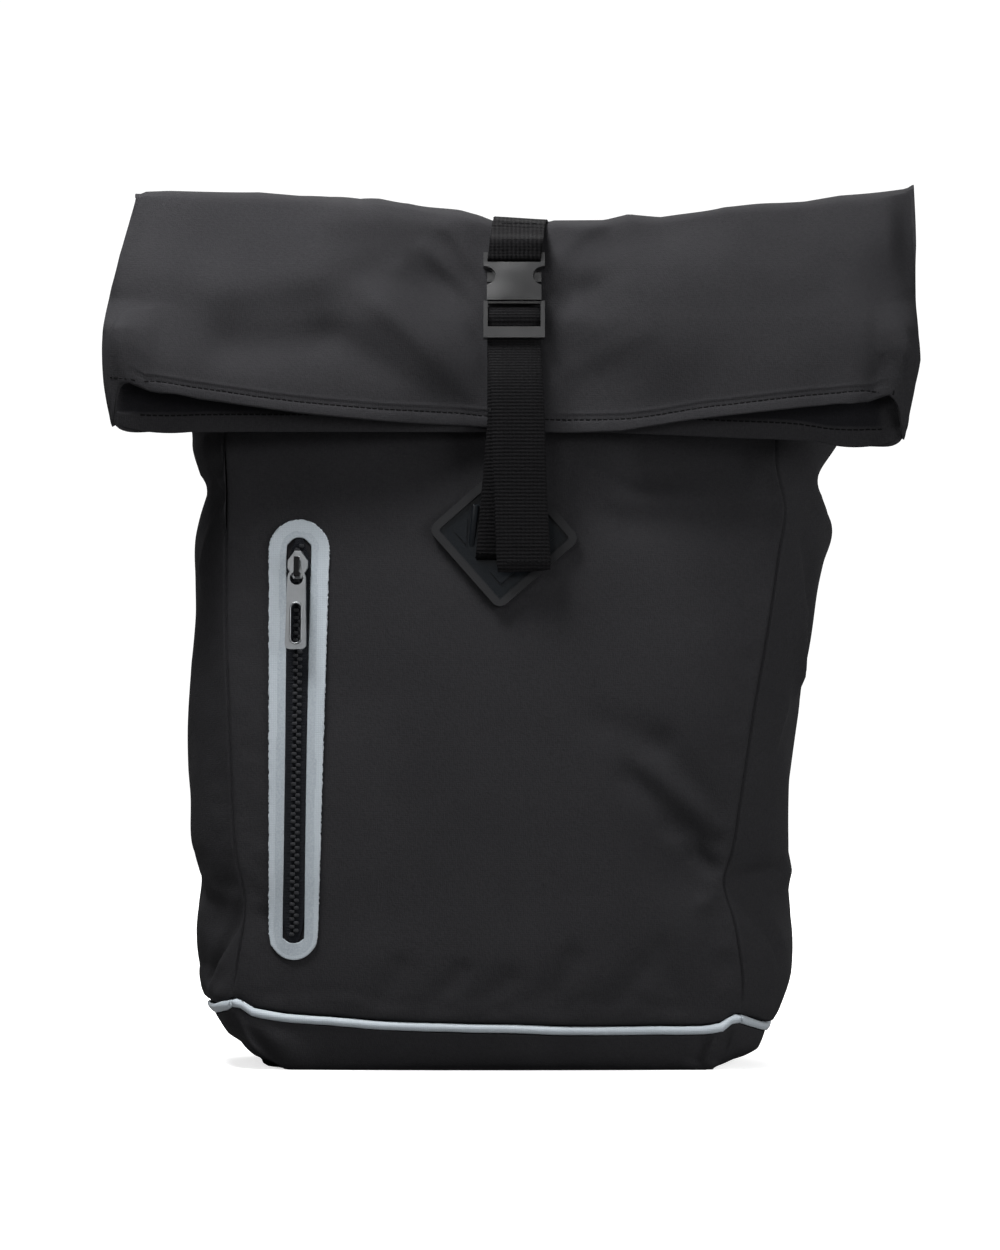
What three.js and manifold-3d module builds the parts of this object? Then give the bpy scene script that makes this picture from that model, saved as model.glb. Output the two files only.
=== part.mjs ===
// Roll-top backpack in black softshell, standing on its base with the top folded forward and buckled down.
// Millimetres, +Z up, the front faces -Y, the origin lies on the floor under the middle of the base.
import * as THREE from "three";
import { mergeVertices } from "three/addons/utils/BufferGeometryUtils.js";
import Module from "manifold-3d";

const wasm = await Module();
wasm.setup();

// Cloth and sewing
const WALL = 2; // softshell with its bonded fleece
const SEAM_GAP = 0.3; // left open between two sewn panels
const COLUMNS = { front: 14, side: 6, back: 14 };
const BODY_TOP = 335; // seam between body and roll top, hidden under the flap

// The body, a row per height. left, right: fullest points of the gussets. seamLeft, seamRight: the front seams.
// corner: depth of the front seams. front, back: depth at the middle of the two panels.
const BODY = [
  { z: 0, left: -112, seamLeft: -106, seamRight: 102, right: 107, corner: -46, front: -50, back: 48 },
  { z: 4, left: -119, seamLeft: -112, seamRight: 107, right: 117, corner: -49, front: -55, back: 52 },
  { z: 11, left: -128, seamLeft: -121, seamRight: 113, right: 126, corner: -50, front: -59, back: 55 },
  { z: 23, left: -139, seamLeft: -129, seamRight: 119, right: 135.5, corner: -50, front: -62, back: 58 },
  { z: 36, left: -148, seamLeft: -132.5, seamRight: 121.5, right: 141.5, corner: -50, front: -63, back: 59 },
  { z: 62, left: -151.3, seamLeft: -130, seamRight: 119.5, right: 146, corner: -51, front: -65, back: 60 },
  { z: 78, left: -151, seamLeft: -127.5, seamRight: 116.5, right: 145, corner: -51.5, front: -66, back: 61 },
  { z: 91, left: -149.3, seamLeft: -128.5, seamRight: 112, right: 142.5, corner: -52, front: -66.5, back: 61 },
  { z: 106, left: -152.5, seamLeft: -132, seamRight: 115.5, right: 143, corner: -52, front: -67, back: 62 },
  { z: 140, left: -155.3, seamLeft: -134, seamRight: 121, right: 145, corner: -52, front: -67, back: 63 },
  { z: 180, left: -156.5, seamLeft: -135.5, seamRight: 127, right: 150, corner: -52, front: -66, back: 63 },
  { z: 220, left: -153, seamLeft: -137, seamRight: 134, right: 157, corner: -50, front: -64, back: 62 },
  { z: 250, left: -152.5, seamLeft: -137, seamRight: 138.5, right: 161, corner: -48, front: -61.5, back: 61 },
  { z: 268, left: -151, seamLeft: -137, seamRight: 141, right: 165, corner: -46.5, front: -59.5, back: 60 },
  { z: 284, left: -147.5, seamLeft: -137, seamRight: 143, right: 161.5, corner: -45, front: -57.5, back: 59 },
  { z: 293, left: -149, seamLeft: -137, seamRight: 140, right: 158.7, corner: -44, front: -56, back: 58 },
  { z: 310, left: -152.5, seamLeft: -138, seamRight: 138, right: 166, corner: -41, front: -53, back: 55 },
  { z: 335, left: -158, seamLeft: -138, seamRight: 140, right: 176, corner: -36, front: -46, back: 49 },
];
const BASE_STEPS = [0, 0.18, 0.5, 1]; // heights of the base rings, as shares of the way up to the piping
const BODY_ROWS = [27, 44, 60, 76, 91, 106, 126, 152, 182, 212, 240, 262, 278, 293, 311, BODY_TOP];
const BACK_SEAM_IN = 13; // the back seams stand this far inside the fullest point of the gussets
const BACK_CORNER_IN = 6;
const FRONT_FLATNESS = 2.4; // power of the front panel's section, flatter in the middle as it grows
const GUSSET_FULLNESS = 0.8;

// Soft folds of the body, a row per fold, from one end to the other. across: 0 to 1 over the panel, from the left
// on the front and the back and from the front on a gusset. height is negative for a dent.
const BODY_FOLDS = [
  { panel: "front", across: [0.68, 0.95], z: [302, 306], width: 13, height: 4 },
  { panel: "front", across: [0.62, 0.97], z: [284, 282], width: 16, height: -4 },
  { panel: "front", across: [0.9, 1], z: [112, 92], width: 16, height: -3 },
  { panel: "front", across: [0.0, 0.03], z: [86, 74], width: 11, height: -2 },
  { panel: "front", across: [0.3, 0.7], z: [52, 48], width: 22, height: 1.5 },
  { panel: "right", across: [0.0, 0.5], z: [93, 74], width: 11, height: -4 },
  { panel: "right", across: [0.1, 0.6], z: [281, 292], width: 11, height: -4 },
  { panel: "left", across: [0.0, 0.6], z: [84, 92], width: 11, height: -4 },
  { panel: "left", across: [0.0, 0.6], z: [298, 288], width: 11, height: -4 },
  { panel: "left", across: [0.1, 0.3], z: [78, 45], width: 12, height: -3 },
  { panel: "back", across: [0.2, 0.8], z: [120, 112], width: 20, height: -2 },
];

// The roll top: both sheets rise to the ridge, turn over it and hang down in front as the flap.
// A row per step of the rise. flat: how far the tube is pressed flat by then.
const RISE = [
  { y: -3, z: 352, flat: 0.22 },
  { y: -11, z: 372, flat: 0.56 },
  { y: -18.5, z: 392, flat: 0.86 },
  { y: -23, z: 409, flat: 1 },
];
const RIDGE = { y: -32, z: 424, radius: 8, turn: 150, steps: 6 };
const FLAP = { length: 114, turn: 180, steps: 7 }; // leaves the ridge at a slant and hangs plumb at the mouth
const RISE_EDGES = { left: -181, right: 206 }; // side edges reached at the ridge
// Side edges of the flap, a row per share of the way down from the ridge.
const FLAP_EDGES = [
  { down: 0, left: -181, right: 206.5 },
  { down: 0.25, left: -188.5, right: 206.5 },
  { down: 0.5, left: -195, right: 207.5 },
  { down: 0.7, left: -198.2, right: 209 },
  { down: 0.85, left: -197, right: 206.5 },
  { down: 1, left: -193, right: 203 },
];
// The ridge line sags under the strap, with a longer slope on the right.
const SAG = { x: 20, flat: 24, depth: 15, left: 50, right: 115 };
// Outer faces of the two sheets, measured from the middle of the tube.
const INNER_SHEET = 4;
const OUTER_SHEET = 7;
const EDGE_ROUNDING = 26;
const EDGE_LIFT = { left: 7, right: 8.5, fades: 0.35 }; // keeps the ridge level out to the folded side edges
// At the mouth the strap presses the sheets together and both sides gape.
const MOUTH = { strapX: 7, pressed: 3.6, gape: 9.5, dent: 5, flatHalf: 17, reach: 42 };
// The outer sheet ends higher than the inner one, most of all near its side edges.
const HEM = { edge: 7, outerSide: 17, outerMiddle: 4, innerRight: -4.5 };
// Folds that spread from the strap over the flap. down: 0 on the ridge, 1 at the mouth.
const FLAP_FOLDS = [
  { x: [-84, -22], down: [0.22, 0.74], width: 24, height: 4.5 },
  { x: [-135, -88], down: [0.42, 0.8], width: 34, height: -4 },
  { x: [-44, -26], down: [0.04, 0.42], width: 15, height: -3.5 },
  { x: [34, 96], down: [0.46, 0.2], width: 20, height: 4.5 },
  { x: [36, 104], down: [0.26, 0.04], width: 15, height: -3 },
  { x: [56, 165], down: [0.76, 0.42], width: 34, height: -3.5 },
  { x: [150, 196], down: [0.85, 0.5], width: 30, height: 2.5 },
];

// Piping between the body and the base
const PIPING = { radius: 2.1, seat: 2.95, sunk: 0.8, trim: 1.9, sides: 8 };
const PIPING_LINE = { middle: 20.5, peakLeft: 33, peakRight: 28, side: 27, softLeft: 3.5, softRight: 11 };
const PIPING_FALL = 4; // the peaks at the front corners level out over this share of a gusset

// Zip of the front pocket, running down the panel
const ZIP = { topX: -99.5, topZ: 274.5, bottomX: -102.8, bottomZ: 54, steps: 13, endSteps: 6 };
const ZIP_FRAME = { outerTop: 15, outerBottom: 13.2, border: 8.8, lift: 0.5, thick: 0.8 };
const ZIP_TAPE = { gap: 0.35, lift: 0.4, thick: 0.7, steps: 16 };
const ZIP_CHAIN = { width: 4.4, lift: 1.4, thick: 1.6, inset: 10, steps: 20 };
const SLIDER = { width: 10.4, length: 14, thick: 1.8, lift: 3.3, fromTop: 22.5 };
const BRIDGE = { width: 2.4, bottom: -5.8, top: 4, height: 4.4 };
const BRIDGE_SLOT = { bottom: -4.1, top: 2.4, height: 2.85 };
const PULLER = { topWidth: 9.2, endWidth: 10.7, length: 40, thick: 1.8, standOff: 0.5, corner: 2.6 };
const PULLER_EYE = { radius: 3.4, bar: 1.3 };
const PULLER_WINDOW = { width: 5, length: 19.6, fromEnd: 3.2 };
const PULLER_PIVOT_Z = -2.7; // on the slider, the axis of the bar under the bridge

// Rubber anchor patch of the strap, a square set on its corner
const PATCH = { x: 2, z: 267.5, turn: 3.7, side: 54, corner: 5, field: 1.6, rim: 3, rimWidth: 4, lift: 0.45 };
const PATCH_SLOT = { width: 27.4, height: 3.2, z: -11.5 };
const PATCH_MARK = { size: 6.5, raise: 0.8, out: 25 };

// Webbing and buckle of the closure
const WEBBING = { width: 25.4, thick: 1.5, gap: 0.35 };
const BUCKLE = { x: 7, down: 0.37, lift: 0.8 };
const FEMALE = { width: 30.4, waist: 18.5, mouthWidth: 27, height: 19.2, front: -8, back: -0.4 };
const FEMALE_NOTCH = { shoulder: 8.5, middle: 12, neck: 16.5 }; // heights of the side notches
const FEMALE_LOOP = { ear: 2, top: 24.8, bar: 2.2, barFront: -5.4, barBack: -3 };
const TONGUE = { slot: 12.4, half: 1.5, middleY: -4, stem: 4, reach: 16 };
const TONGUE_ARM = { inside: 6.4, outside: 10.6, pad: 13.4 };
const LADDER = { width: 30.4, rail: 2.1, end: -19, railTop: -1.5, front: -7.2, back: -2.3 };
const LADDER_MID = { top: -4.7, bottom: -9.4, front: -4.3 };
const LADDER_END = { top: -13.4, back: -4.2 };
const TAIL = { endX: 12, endZ: 250, standOff: 7, fold: 11 };
const STRAP_BEHIND = 2.5; // row of the roll top where the upper webbing is sewn down behind the ridge
const STRAP_TOP_X = 10.5;

// Carrying straps on the back, written for the right-hand one. A row per point of the path.
const SHOULDER_PATH = [
  { x: 40, y: 54.1, z: 333, width: 54 },
  { x: 42, y: 68, z: 343, width: 58 },
  { x: 44, y: 85, z: 338, width: 62 },
  { x: 48, y: 98, z: 314, width: 64 },
  { x: 54, y: 104, z: 276, width: 64 },
  { x: 63, y: 104, z: 234, width: 62 },
  { x: 76, y: 98, z: 194, width: 58 },
  { x: 91, y: 89, z: 158, width: 50 },
  { x: 103, y: 82, z: 134, width: 40 },
];
const SHOULDER = { thick: 11, flat: 0.82, edge: 0.35 };
const LOWER_WEBBING = { width: 20, thick: 1.6 };
const TAB = { z: 98, height: 26, right: 16.5, left: 12, back: 13, thick: 2.4, tip: 6, seat: 2.3 };

// Small helpers
const lerp = THREE.MathUtils.lerp;
const smooth = (value, low, high) => THREE.MathUtils.smoothstep(value, low, high);
const vec = (x, y, z) => new THREE.Vector3(x, y, z);

// Reads a table at any value of its key column, with a smooth curve through the rows.
function readTable(rows, key, value) {
  const last = rows.length - 1;
  let i = rows.findIndex((row) => row[key] > value) - 1;
  if (i < 0) i = value <= rows[0][key] ? 0 : last - 1;
  const from = rows[i];
  const to = rows[i + 1];
  const before = rows[Math.max(i - 1, 0)];
  const after = rows[Math.min(i + 2, last)];
  const span = to[key] - from[key];
  const t = THREE.MathUtils.clamp((value - from[key]) / span, 0, 1);
  const result = {};
  for (const name of Object.keys(from)) {
    const leave = ((to[name] - before[name]) / (to[key] - before[key])) * span;
    const arrive = ((after[name] - from[name]) / (after[key] - from[key])) * span;
    const a = 2 * from[name] - 2 * to[name] + leave + arrive;
    const b = -3 * from[name] + 3 * to[name] - 2 * leave - arrive;
    result[name] = ((a * t + b) * t + leave) * t + from[name];
  }
  return result;
}

// Height of one fold at a point: a soft ridge along a line, fading at both of its ends.
function foldHeight(u, v, from, to, width, height) {
  const dx = to.x - from.x;
  const dy = to.y - from.y;
  const t = ((u - from.x) * dx + (v - from.y) * dy) / (dx * dx + dy * dy);
  const clamped = THREE.MathUtils.clamp(t, 0, 1);
  const off = Math.hypot(u - from.x - dx * clamped, v - from.y - dy * clamped) / width;
  return height * Math.exp(-off * off);
}

// Columns run round the bag: front from left to right, right gusset, back from right to left, left gusset.
const TOTAL = COLUMNS.front + COLUMNS.back + 2 * COLUMNS.side;
const START = { front: 0, right: COLUMNS.front, back: COLUMNS.front + COLUMNS.side };
START.left = START.back + COLUMNS.back;
const HALF = TOTAL / 2; // columns in each sheet of the flattened roll top
const FIRST_OUTER = START.right + COLUMNS.side / 2; // middle of the right gusset, where the outer sheet begins

function panelOf(column) {
  if (column < START.right) return { panel: "front", across: column / COLUMNS.front };
  if (column < START.back) return { panel: "right", across: (column - START.right) / COLUMNS.side };
  if (column < START.left) return { panel: "back", across: (column - START.back) / COLUMNS.back };
  return { panel: "left", across: (column - START.left) / COLUMNS.side };
}

// A point of the body's outside before its folds, as x and y at a height.
function ringPoint(panel, across, row) {
  const backRight = row.right - BACK_SEAM_IN;
  const backLeft = row.left + BACK_SEAM_IN;
  const backCorner = row.back - BACK_CORNER_IN;
  if (panel === "front") {
    const bulge = 1 - Math.pow(Math.abs(2 * across - 1), FRONT_FLATNESS);
    return { x: lerp(row.seamLeft, row.seamRight, across), y: lerp(row.corner, row.front, bulge) };
  }
  if (panel === "back") {
    const bulge = 1 - Math.pow(Math.abs(2 * across - 1), FRONT_FLATNESS);
    return { x: lerp(backRight, backLeft, across), y: lerp(backCorner, row.back, bulge) };
  }
  const arch = Math.pow(Math.sin(Math.PI * across), GUSSET_FULLNESS);
  if (panel === "right") {
    const x = lerp(row.seamRight, backRight, across) + (row.right - (row.seamRight + backRight) / 2) * arch;
    return { x, y: lerp(row.corner, backCorner, across) };
  }
  const x = lerp(backLeft, row.seamLeft, across) + (row.left - (row.seamLeft + backLeft) / 2) * arch;
  return { x, y: lerp(backCorner, row.corner, across) };
}

// Sum of the body's folds at a place on a panel, the left gusset being read from the front as well.
function bodyFold(panel, across, z) {
  const fromFront = panel === "left" ? 1 - across : across;
  const span = panel === "front" || panel === "back" ? 265 : 105;
  let sum = 0;
  for (const fold of BODY_FOLDS) {
    if (fold.panel !== panel) continue;
    const from = { x: fold.across[0] * span, y: fold.z[0] };
    const to = { x: fold.across[1] * span, y: fold.z[1] };
    sum += foldHeight(fromFront * span, z, from, to, fold.width, fold.height);
  }
  const seam = Math.min(across, 1 - across) * span;
  return sum * smooth(seam, -4, 22);
}

// Height of the piping line round the bag.
function pipingHeight(panel, across) {
  if (panel === "front") {
    const off = Math.abs(2 * across - 1);
    if (across < 0.5) return lerp(PIPING_LINE.middle, PIPING_LINE.peakLeft, Math.pow(off, PIPING_LINE.softLeft));
    return lerp(PIPING_LINE.middle, PIPING_LINE.peakRight, Math.pow(off, PIPING_LINE.softRight));
  }
  if (panel === "back") return PIPING_LINE.side;
  const fromFront = panel === "left" ? 1 - across : across;
  const peak = panel === "left" ? PIPING_LINE.peakLeft : PIPING_LINE.peakRight;
  return lerp(peak, PIPING_LINE.side, smooth(fromFront * PIPING_FALL, 0, 1));
}

function bodyPoint(panel, across, z) {
  const point = ringPoint(panel, across, readTable(BODY, "z", z));
  return vec(point.x, point.y, z);
}

// Path of the roll top in side view, a row per section with its place and its share of the way down the flap.
function rollPath() {
  const rows = [{ y: 0, z: BODY_TOP, flat: 0, rise: 0, down: 0 }];
  RISE.forEach((row) => rows.push({ ...row, rise: (row.z - BODY_TOP) / (RIDGE.z - BODY_TOP), down: 0 }));
  for (let i = 0; i <= RIDGE.steps; i++) {
    const angle = THREE.MathUtils.degToRad((RIDGE.turn * i) / RIDGE.steps);
    const y = RIDGE.y + RIDGE.radius * Math.cos(angle);
    rows.push({ y, z: RIDGE.z + RIDGE.radius * Math.sin(angle), flat: 1, rise: 1, down: 0 });
  }
  for (let i = 1; i <= FLAP.steps; i++) {
    const last = rows[rows.length - 1];
    const angle = THREE.MathUtils.degToRad(lerp(RIDGE.turn, FLAP.turn, (i - 0.5) / FLAP.steps));
    const step = FLAP.length / FLAP.steps;
    const y = last.y - Math.sin(angle) * step;
    rows.push({ y, z: last.z + Math.cos(angle) * step, flat: 1, rise: 1, down: i / FLAP.steps });
  }
  return rows;
}
const ROLL = rollPath();
const FLAP_START = ROLL.length - 1 - FLAP.steps;

// Direction across the tube at a row of the path, from the inner sheet to the outer one.
function rollAcross(i) {
  const before = ROLL[Math.max(i - 1, 0)];
  const after = ROLL[Math.min(i + 1, ROLL.length - 1)];
  const along = new THREE.Vector2(after.y - before.y, after.z - before.z).normalize();
  return i === 0 ? { y: 1, z: 0 } : { y: along.y, z: -along.x };
}

function sagAt(x) {
  const off = Math.max(Math.abs(x - SAG.x) - SAG.flat, 0) / (x < SAG.x ? SAG.left : SAG.right);
  return SAG.depth * Math.exp(-off * off);
}

function flapFold(x, down) {
  let sum = 0;
  for (const fold of FLAP_FOLDS) {
    const from = { x: fold.x[0], y: fold.down[0] * FLAP.length };
    const to = { x: fold.x[1], y: fold.down[1] * FLAP.length };
    sum += foldHeight(x, down * FLAP.length, from, to, fold.width, fold.height);
  }
  return sum * smooth(Math.abs(x - MOUTH.strapX), MOUTH.flatHalf, MOUTH.flatHalf + 16);
}

// A point of the pressed tube: share 0 to 1 from its left edge to its right edge, on the inner or the outer sheet.
function flatPoint(share, outer, i) {
  const row = ROLL[i];
  const edges =
    row.down > 0
      ? readTable(FLAP_EDGES, "down", row.down)
      : { left: lerp(-158, RISE_EDGES.left, row.rise), right: lerp(176, RISE_EDGES.right, row.rise) };
  const x = lerp(edges.left, edges.right, share);
  const toEdge = Math.min(share, 1 - share) * (edges.right - edges.left);
  const rounded = Math.sqrt(1 - Math.pow(1 - Math.min(toEdge / EDGE_ROUNDING, 1), 2));
  const nearStrap = Math.max(Math.abs(x - MOUTH.strapX) - MOUTH.flatHalf, 0) / MOUTH.reach;
  const held = Math.exp(-nearStrap * nearStrap);
  const dent = MOUTH.dent * held * smooth(row.down, 0.1, 0.7);
  const gape = MOUTH.gape * (1 - held) * smooth(row.down, 0.35, 1);
  const pressed = lerp(outer ? OUTER_SHEET : INNER_SHEET, MOUTH.pressed, held * smooth(row.down, 0.05, 0.5));
  const folds = outer && row.rise === 1 ? flapFold(x, row.down) * rounded : 0;
  const off = outer ? (pressed + gape) * rounded + folds - dent : -pressed * rounded - dent;
  const side = share < 0.5 ? EDGE_LIFT.left : EDGE_LIFT.right;
  const lift = side * (1 - rounded) * smooth(row.rise, 0.5, 1) * (1 - smooth(row.down, 0, EDGE_LIFT.fades));
  return { x, off, lift };
}

// How much of the flap is cut away at the hem, per sheet.
function hemShort(share, outer) {
  const side = Math.min(share, 1 - share) * 2;
  const blend = smooth(side, 0, 0.16);
  const innerFull = HEM.innerRight * smooth(share, 0.55, 0.93);
  const full = outer ? lerp(HEM.outerSide, HEM.outerMiddle, smooth(side, 0.05, 1)) : innerFull;
  return lerp(HEM.edge, full, blend);
}

function rollPoint(column, i) {
  const turned = (column - FIRST_OUTER + TOTAL) % TOTAL;
  const outer = turned < HALF;
  const share = outer ? 1 - turned / HALF : (turned - HALF) / HALF;
  return rollPlace(share, outer, i, panelOf(column));
}

// A point on a sheet at a row of the path; the place says where on the body's ring the same column starts.
function rollPlace(share, outer, i, place) {
  const row = ROLL[i];
  const flat = flatPoint(share, outer, i);
  let x = flat.x;
  let off = flat.off;
  if (row.flat < 1) {
    const ring = ringPoint(place.panel, place.across, readTable(BODY, "z", BODY_TOP));
    x = lerp(ring.x, flat.x, row.flat);
    off = lerp(ring.y, flat.off, row.flat);
  }
  const across = rollAcross(i);
  const short = row.down * hemShort(share, outer);
  const sag = sagAt(x) * smooth(row.rise, 0.1, 1) * (1 - smooth(row.down, 0, 0.95));
  return vec(x, row.y + across.y * off, row.z + short + across.z * off - sag + flat.lift);
}

// Grids of points and the directions that face outward, columns joining up round the bag
function outwardOf(grid) {
  const top = grid.length - 1;
  return grid.map((row, r) =>
    row.map((point, c) => {
      const round = row[(c + 1) % TOTAL].clone().sub(row[(c - 1 + TOTAL) % TOTAL]);
      const up = grid[Math.min(r + 1, top)][c].clone().sub(grid[Math.max(r - 1, 0)][c]);
      return round.cross(up).normalize();
    })
  );
}

function offsetGrid(grid, outward, distance) {
  return grid.map((row, r) => row.map((point, c) => point.clone().addScaledVector(outward[r][c], distance)));
}

const columnsOf = (make) => Array.from({ length: TOTAL }, (unused, c) => make(c));

// Rings of the base, from the floor to the piping
const baseOuter = BASE_STEPS.map((step) =>
  columnsOf((c) => {
    const { panel, across } = panelOf(c);
    return bodyPoint(panel, across, (pipingHeight(panel, across) - PIPING.seat) * step);
  })
);
const baseInner = offsetGrid(baseOuter, outwardOf(baseOuter), -WALL);
baseInner[0].forEach((point) => point.setZ(WALL));

// Rings of the body and then of the roll top, in one grid so that their shared seam has one direction
function bodyRow(height, r) {
  return columnsOf((c) => {
    const { panel, across } = panelOf(c);
    const low = pipingHeight(panel, across) + PIPING.seat;
    const share = (height - BODY_ROWS[0]) / (BODY_TOP - BODY_ROWS[0]);
    const z = r === 0 ? low : lerp(low, BODY_TOP, share);
    return bodyPoint(panel, across, z);
  });
}
const bodySmooth = BODY_ROWS.map(bodyRow);
const smoothOut = outwardOf(bodySmooth);
const bodyOuter = bodySmooth.map((row, r) =>
  row.map((point, c) => {
    const { panel, across } = panelOf(c);
    const fade = 1 - smooth(point.z, BODY_TOP - 22, BODY_TOP - 4);
    return point.clone().addScaledVector(smoothOut[r][c], bodyFold(panel, across, point.z) * fade);
  })
);
const SEAM_ROW = BODY_ROWS.length - 1;
const shellOuter = [...bodyOuter, ...ROLL.slice(1).map((unused, i) => columnsOf((c) => rollPoint(c, i + 1)))];
const shellInner = offsetGrid(shellOuter, outwardOf(shellOuter), -WALL);

// Triangles from four-sided faces, each split along its shorter diagonal
function solidOf(points, faces, caps = []) {
  const index = [...caps];
  for (const [a, b, c, d] of faces) {
    const short = points[a].distanceToSquared(points[c]) <= points[b].distanceToSquared(points[d]);
    index.push(...(short ? [a, b, c, a, c, d] : [a, b, d, b, c, d]));
  }
  const geometry = new THREE.BufferGeometry();
  geometry.setAttribute("position", new THREE.Float32BufferAttribute(points.flatMap((p) => [p.x, p.y, p.z]), 3));
  geometry.setIndex(index);
  return geometry;
}

// Closed sheet between an outer and an inner grid of points
function sheetOf(outer, inner) {
  const rows = outer.length;
  const columns = outer[0].length;
  const points = [...outer.flat(), ...inner.flat()];
  const out = (r, c) => r * columns + c;
  const inn = (r, c) => rows * columns + out(r, c);
  const faces = [];
  for (let r = 0; r + 1 < rows; r++) {
    for (let c = 0; c + 1 < columns; c++) {
      faces.push([out(r, c), out(r, c + 1), out(r + 1, c + 1), out(r + 1, c)]);
      faces.push([inn(r, c), inn(r + 1, c), inn(r + 1, c + 1), inn(r, c + 1)]);
    }
    faces.push([out(r, 0), out(r + 1, 0), inn(r + 1, 0), inn(r, 0)]);
    const e = columns - 1;
    faces.push([inn(r, e), inn(r + 1, e), out(r + 1, e), out(r, e)]);
  }
  const t = rows - 1;
  for (let c = 0; c + 1 < columns; c++) {
    faces.push([inn(0, c), inn(0, c + 1), out(0, c + 1), out(0, c)]);
    faces.push([out(t, c), out(t, c + 1), inn(t, c + 1), inn(t, c)]);
  }
  return solidOf(points, faces);
}

// Cuts a panel from the shell, pulling its sewn edges back by half a seam gap.
function panelGeometry(firstColumn, columnCount, firstRow, lastRow, sewnTop, sewnBottom) {
  const pick = (grid) =>
    grid
      .slice(firstRow, lastRow + 1)
      .map((row) => Array.from({ length: columnCount + 1 }, (unused, c) => row[(firstColumn + c) % TOTAL].clone()));
  const outer = pick(shellOuter);
  const inner = pick(shellInner);
  const pull = (edgeOut, edgeIn, next) => {
    const face = edgeIn.clone().sub(edgeOut).normalize();
    const toward = next.clone().sub(edgeOut);
    return toward.addScaledVector(face, -toward.dot(face)).setLength(SEAM_GAP / 2);
  };
  const e = columnCount;
  const t = outer.length - 1;
  const shifts = [];
  outer.forEach((row, r) => {
    shifts.push([r, 0, pull(row[0], inner[r][0], row[1])]);
    shifts.push([r, e, pull(row[e], inner[r][e], row[e - 1])]);
  });
  for (let c = 0; c <= e; c++) {
    if (sewnBottom) shifts.push([0, c, pull(outer[0][c], inner[0][c], outer[1][c])]);
    if (sewnTop) shifts.push([t, c, pull(outer[t][c], inner[t][c], outer[t - 1][c])]);
  }
  for (const [r, c, shift] of shifts) {
    outer[r][c].add(shift);
    inner[r][c].add(shift);
  }
  return sheetOf(outer, inner);
}

function baseGeometry() {
  const rows = baseOuter.length;
  const points = [...baseOuter.flat(), ...baseInner.flat()];
  const out = (r, c) => r * TOTAL + (c % TOTAL);
  const inn = (r, c) => rows * TOTAL + out(r, c);
  const faces = [];
  for (let c = 0; c < TOTAL; c++) {
    for (let r = 0; r + 1 < rows; r++) {
      faces.push([out(r, c), out(r, c + 1), out(r + 1, c + 1), out(r + 1, c)]);
      faces.push([inn(r, c), inn(r + 1, c), inn(r + 1, c + 1), inn(r, c + 1)]);
    }
    const t = rows - 1;
    faces.push([out(t, c), out(t, c + 1), inn(t, c + 1), inn(t, c)]);
  }
  const floor = (ring) => THREE.ShapeUtils.triangulateShape(ring.map((p) => new THREE.Vector2(p.x, p.y)), []);
  const under = floor(baseOuter[0]).flatMap(([a, b, c]) => [out(0, a), out(0, c), out(0, b)]);
  const over = floor(baseInner[0]).flatMap(([a, b, c]) => [inn(0, a), inn(0, b), inn(0, c)]);
  return solidOf(points, faces, [...under, ...over]);
}

// Straps: a flat band that follows a path, or a padded one with rounded sides
function bandOf(path, widths, thick, corners) {
  const outline = corners.map(([u, v]) => ({ u: u / 2, v: (v * thick) / 2 }));
  const points = [];
  path.forEach(({ at, along, wide }, i) => {
    const side = wide.clone().addScaledVector(along, -wide.dot(along)).normalize();
    const up = side.clone().cross(along);
    for (const { u, v } of outline) {
      points.push(at.clone().addScaledVector(side, u * widths[i]).addScaledVector(up, v));
    }
  });
  const count = outline.length;
  const faces = [];
  for (let i = 0; i + 1 < path.length; i++) {
    for (let k = 0; k < count; k++) {
      const n = (k + 1) % count;
      faces.push([i * count + k, i * count + n, (i + 1) * count + n, (i + 1) * count + k]);
    }
  }
  const caps = [];
  const end = (path.length - 1) * count;
  for (let k = 1; k + 1 < count; k++) caps.push(0, k + 1, k, end, end + k, end + k + 1);
  return solidOf(points, faces, caps);
}
const FLAT_BAND = [[-1, -1], [-1, 1], [1, 1], [1, -1]];

// Places along a smooth curve through points, with directions and the side the band is wide to, which may turn.
function pathThrough(points, perSpan, wide = vec(1, 0, 0), wideEnd = wide) {
  const curve = new THREE.CatmullRomCurve3(points, false, "centripetal");
  const steps = (points.length - 1) * perSpan;
  return Array.from({ length: steps + 1 }, (unused, i) => ({
    at: curve.getPoint(i / steps),
    along: curve.getTangent(i / steps),
    wide: wide.clone().lerp(wideEnd, smooth(i / steps, 0, 0.55)),
  }));
}

// Joining and cutting of hard pieces
function toManifold(geometry) {
  const bare = geometry.clone();
  bare.deleteAttribute("normal");
  bare.deleteAttribute("uv");
  const merged = mergeVertices(bare, 1e-4);
  const vertProperties = new Float32Array(merged.attributes.position.array);
  const triVerts = new Uint32Array(merged.index.array);
  return new wasm.Manifold(new wasm.Mesh({ numProp: 3, vertProperties, triVerts }));
}

function fromManifold(solid) {
  const mesh = solid.getMesh();
  const geometry = new THREE.BufferGeometry();
  geometry.setAttribute("position", new THREE.Float32BufferAttribute(mesh.vertProperties, 3));
  geometry.setIndex(Array.from(mesh.triVerts));
  return geometry;
}

function block(x, y, z) {
  const geometry = new THREE.BoxGeometry(x[1] - x[0], y[1] - y[0], z[1] - z[0]);
  geometry.translate((x[0] + x[1]) / 2, (y[0] + y[1]) / 2, (z[0] + z[1]) / 2);
  return toManifold(geometry);
}

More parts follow.
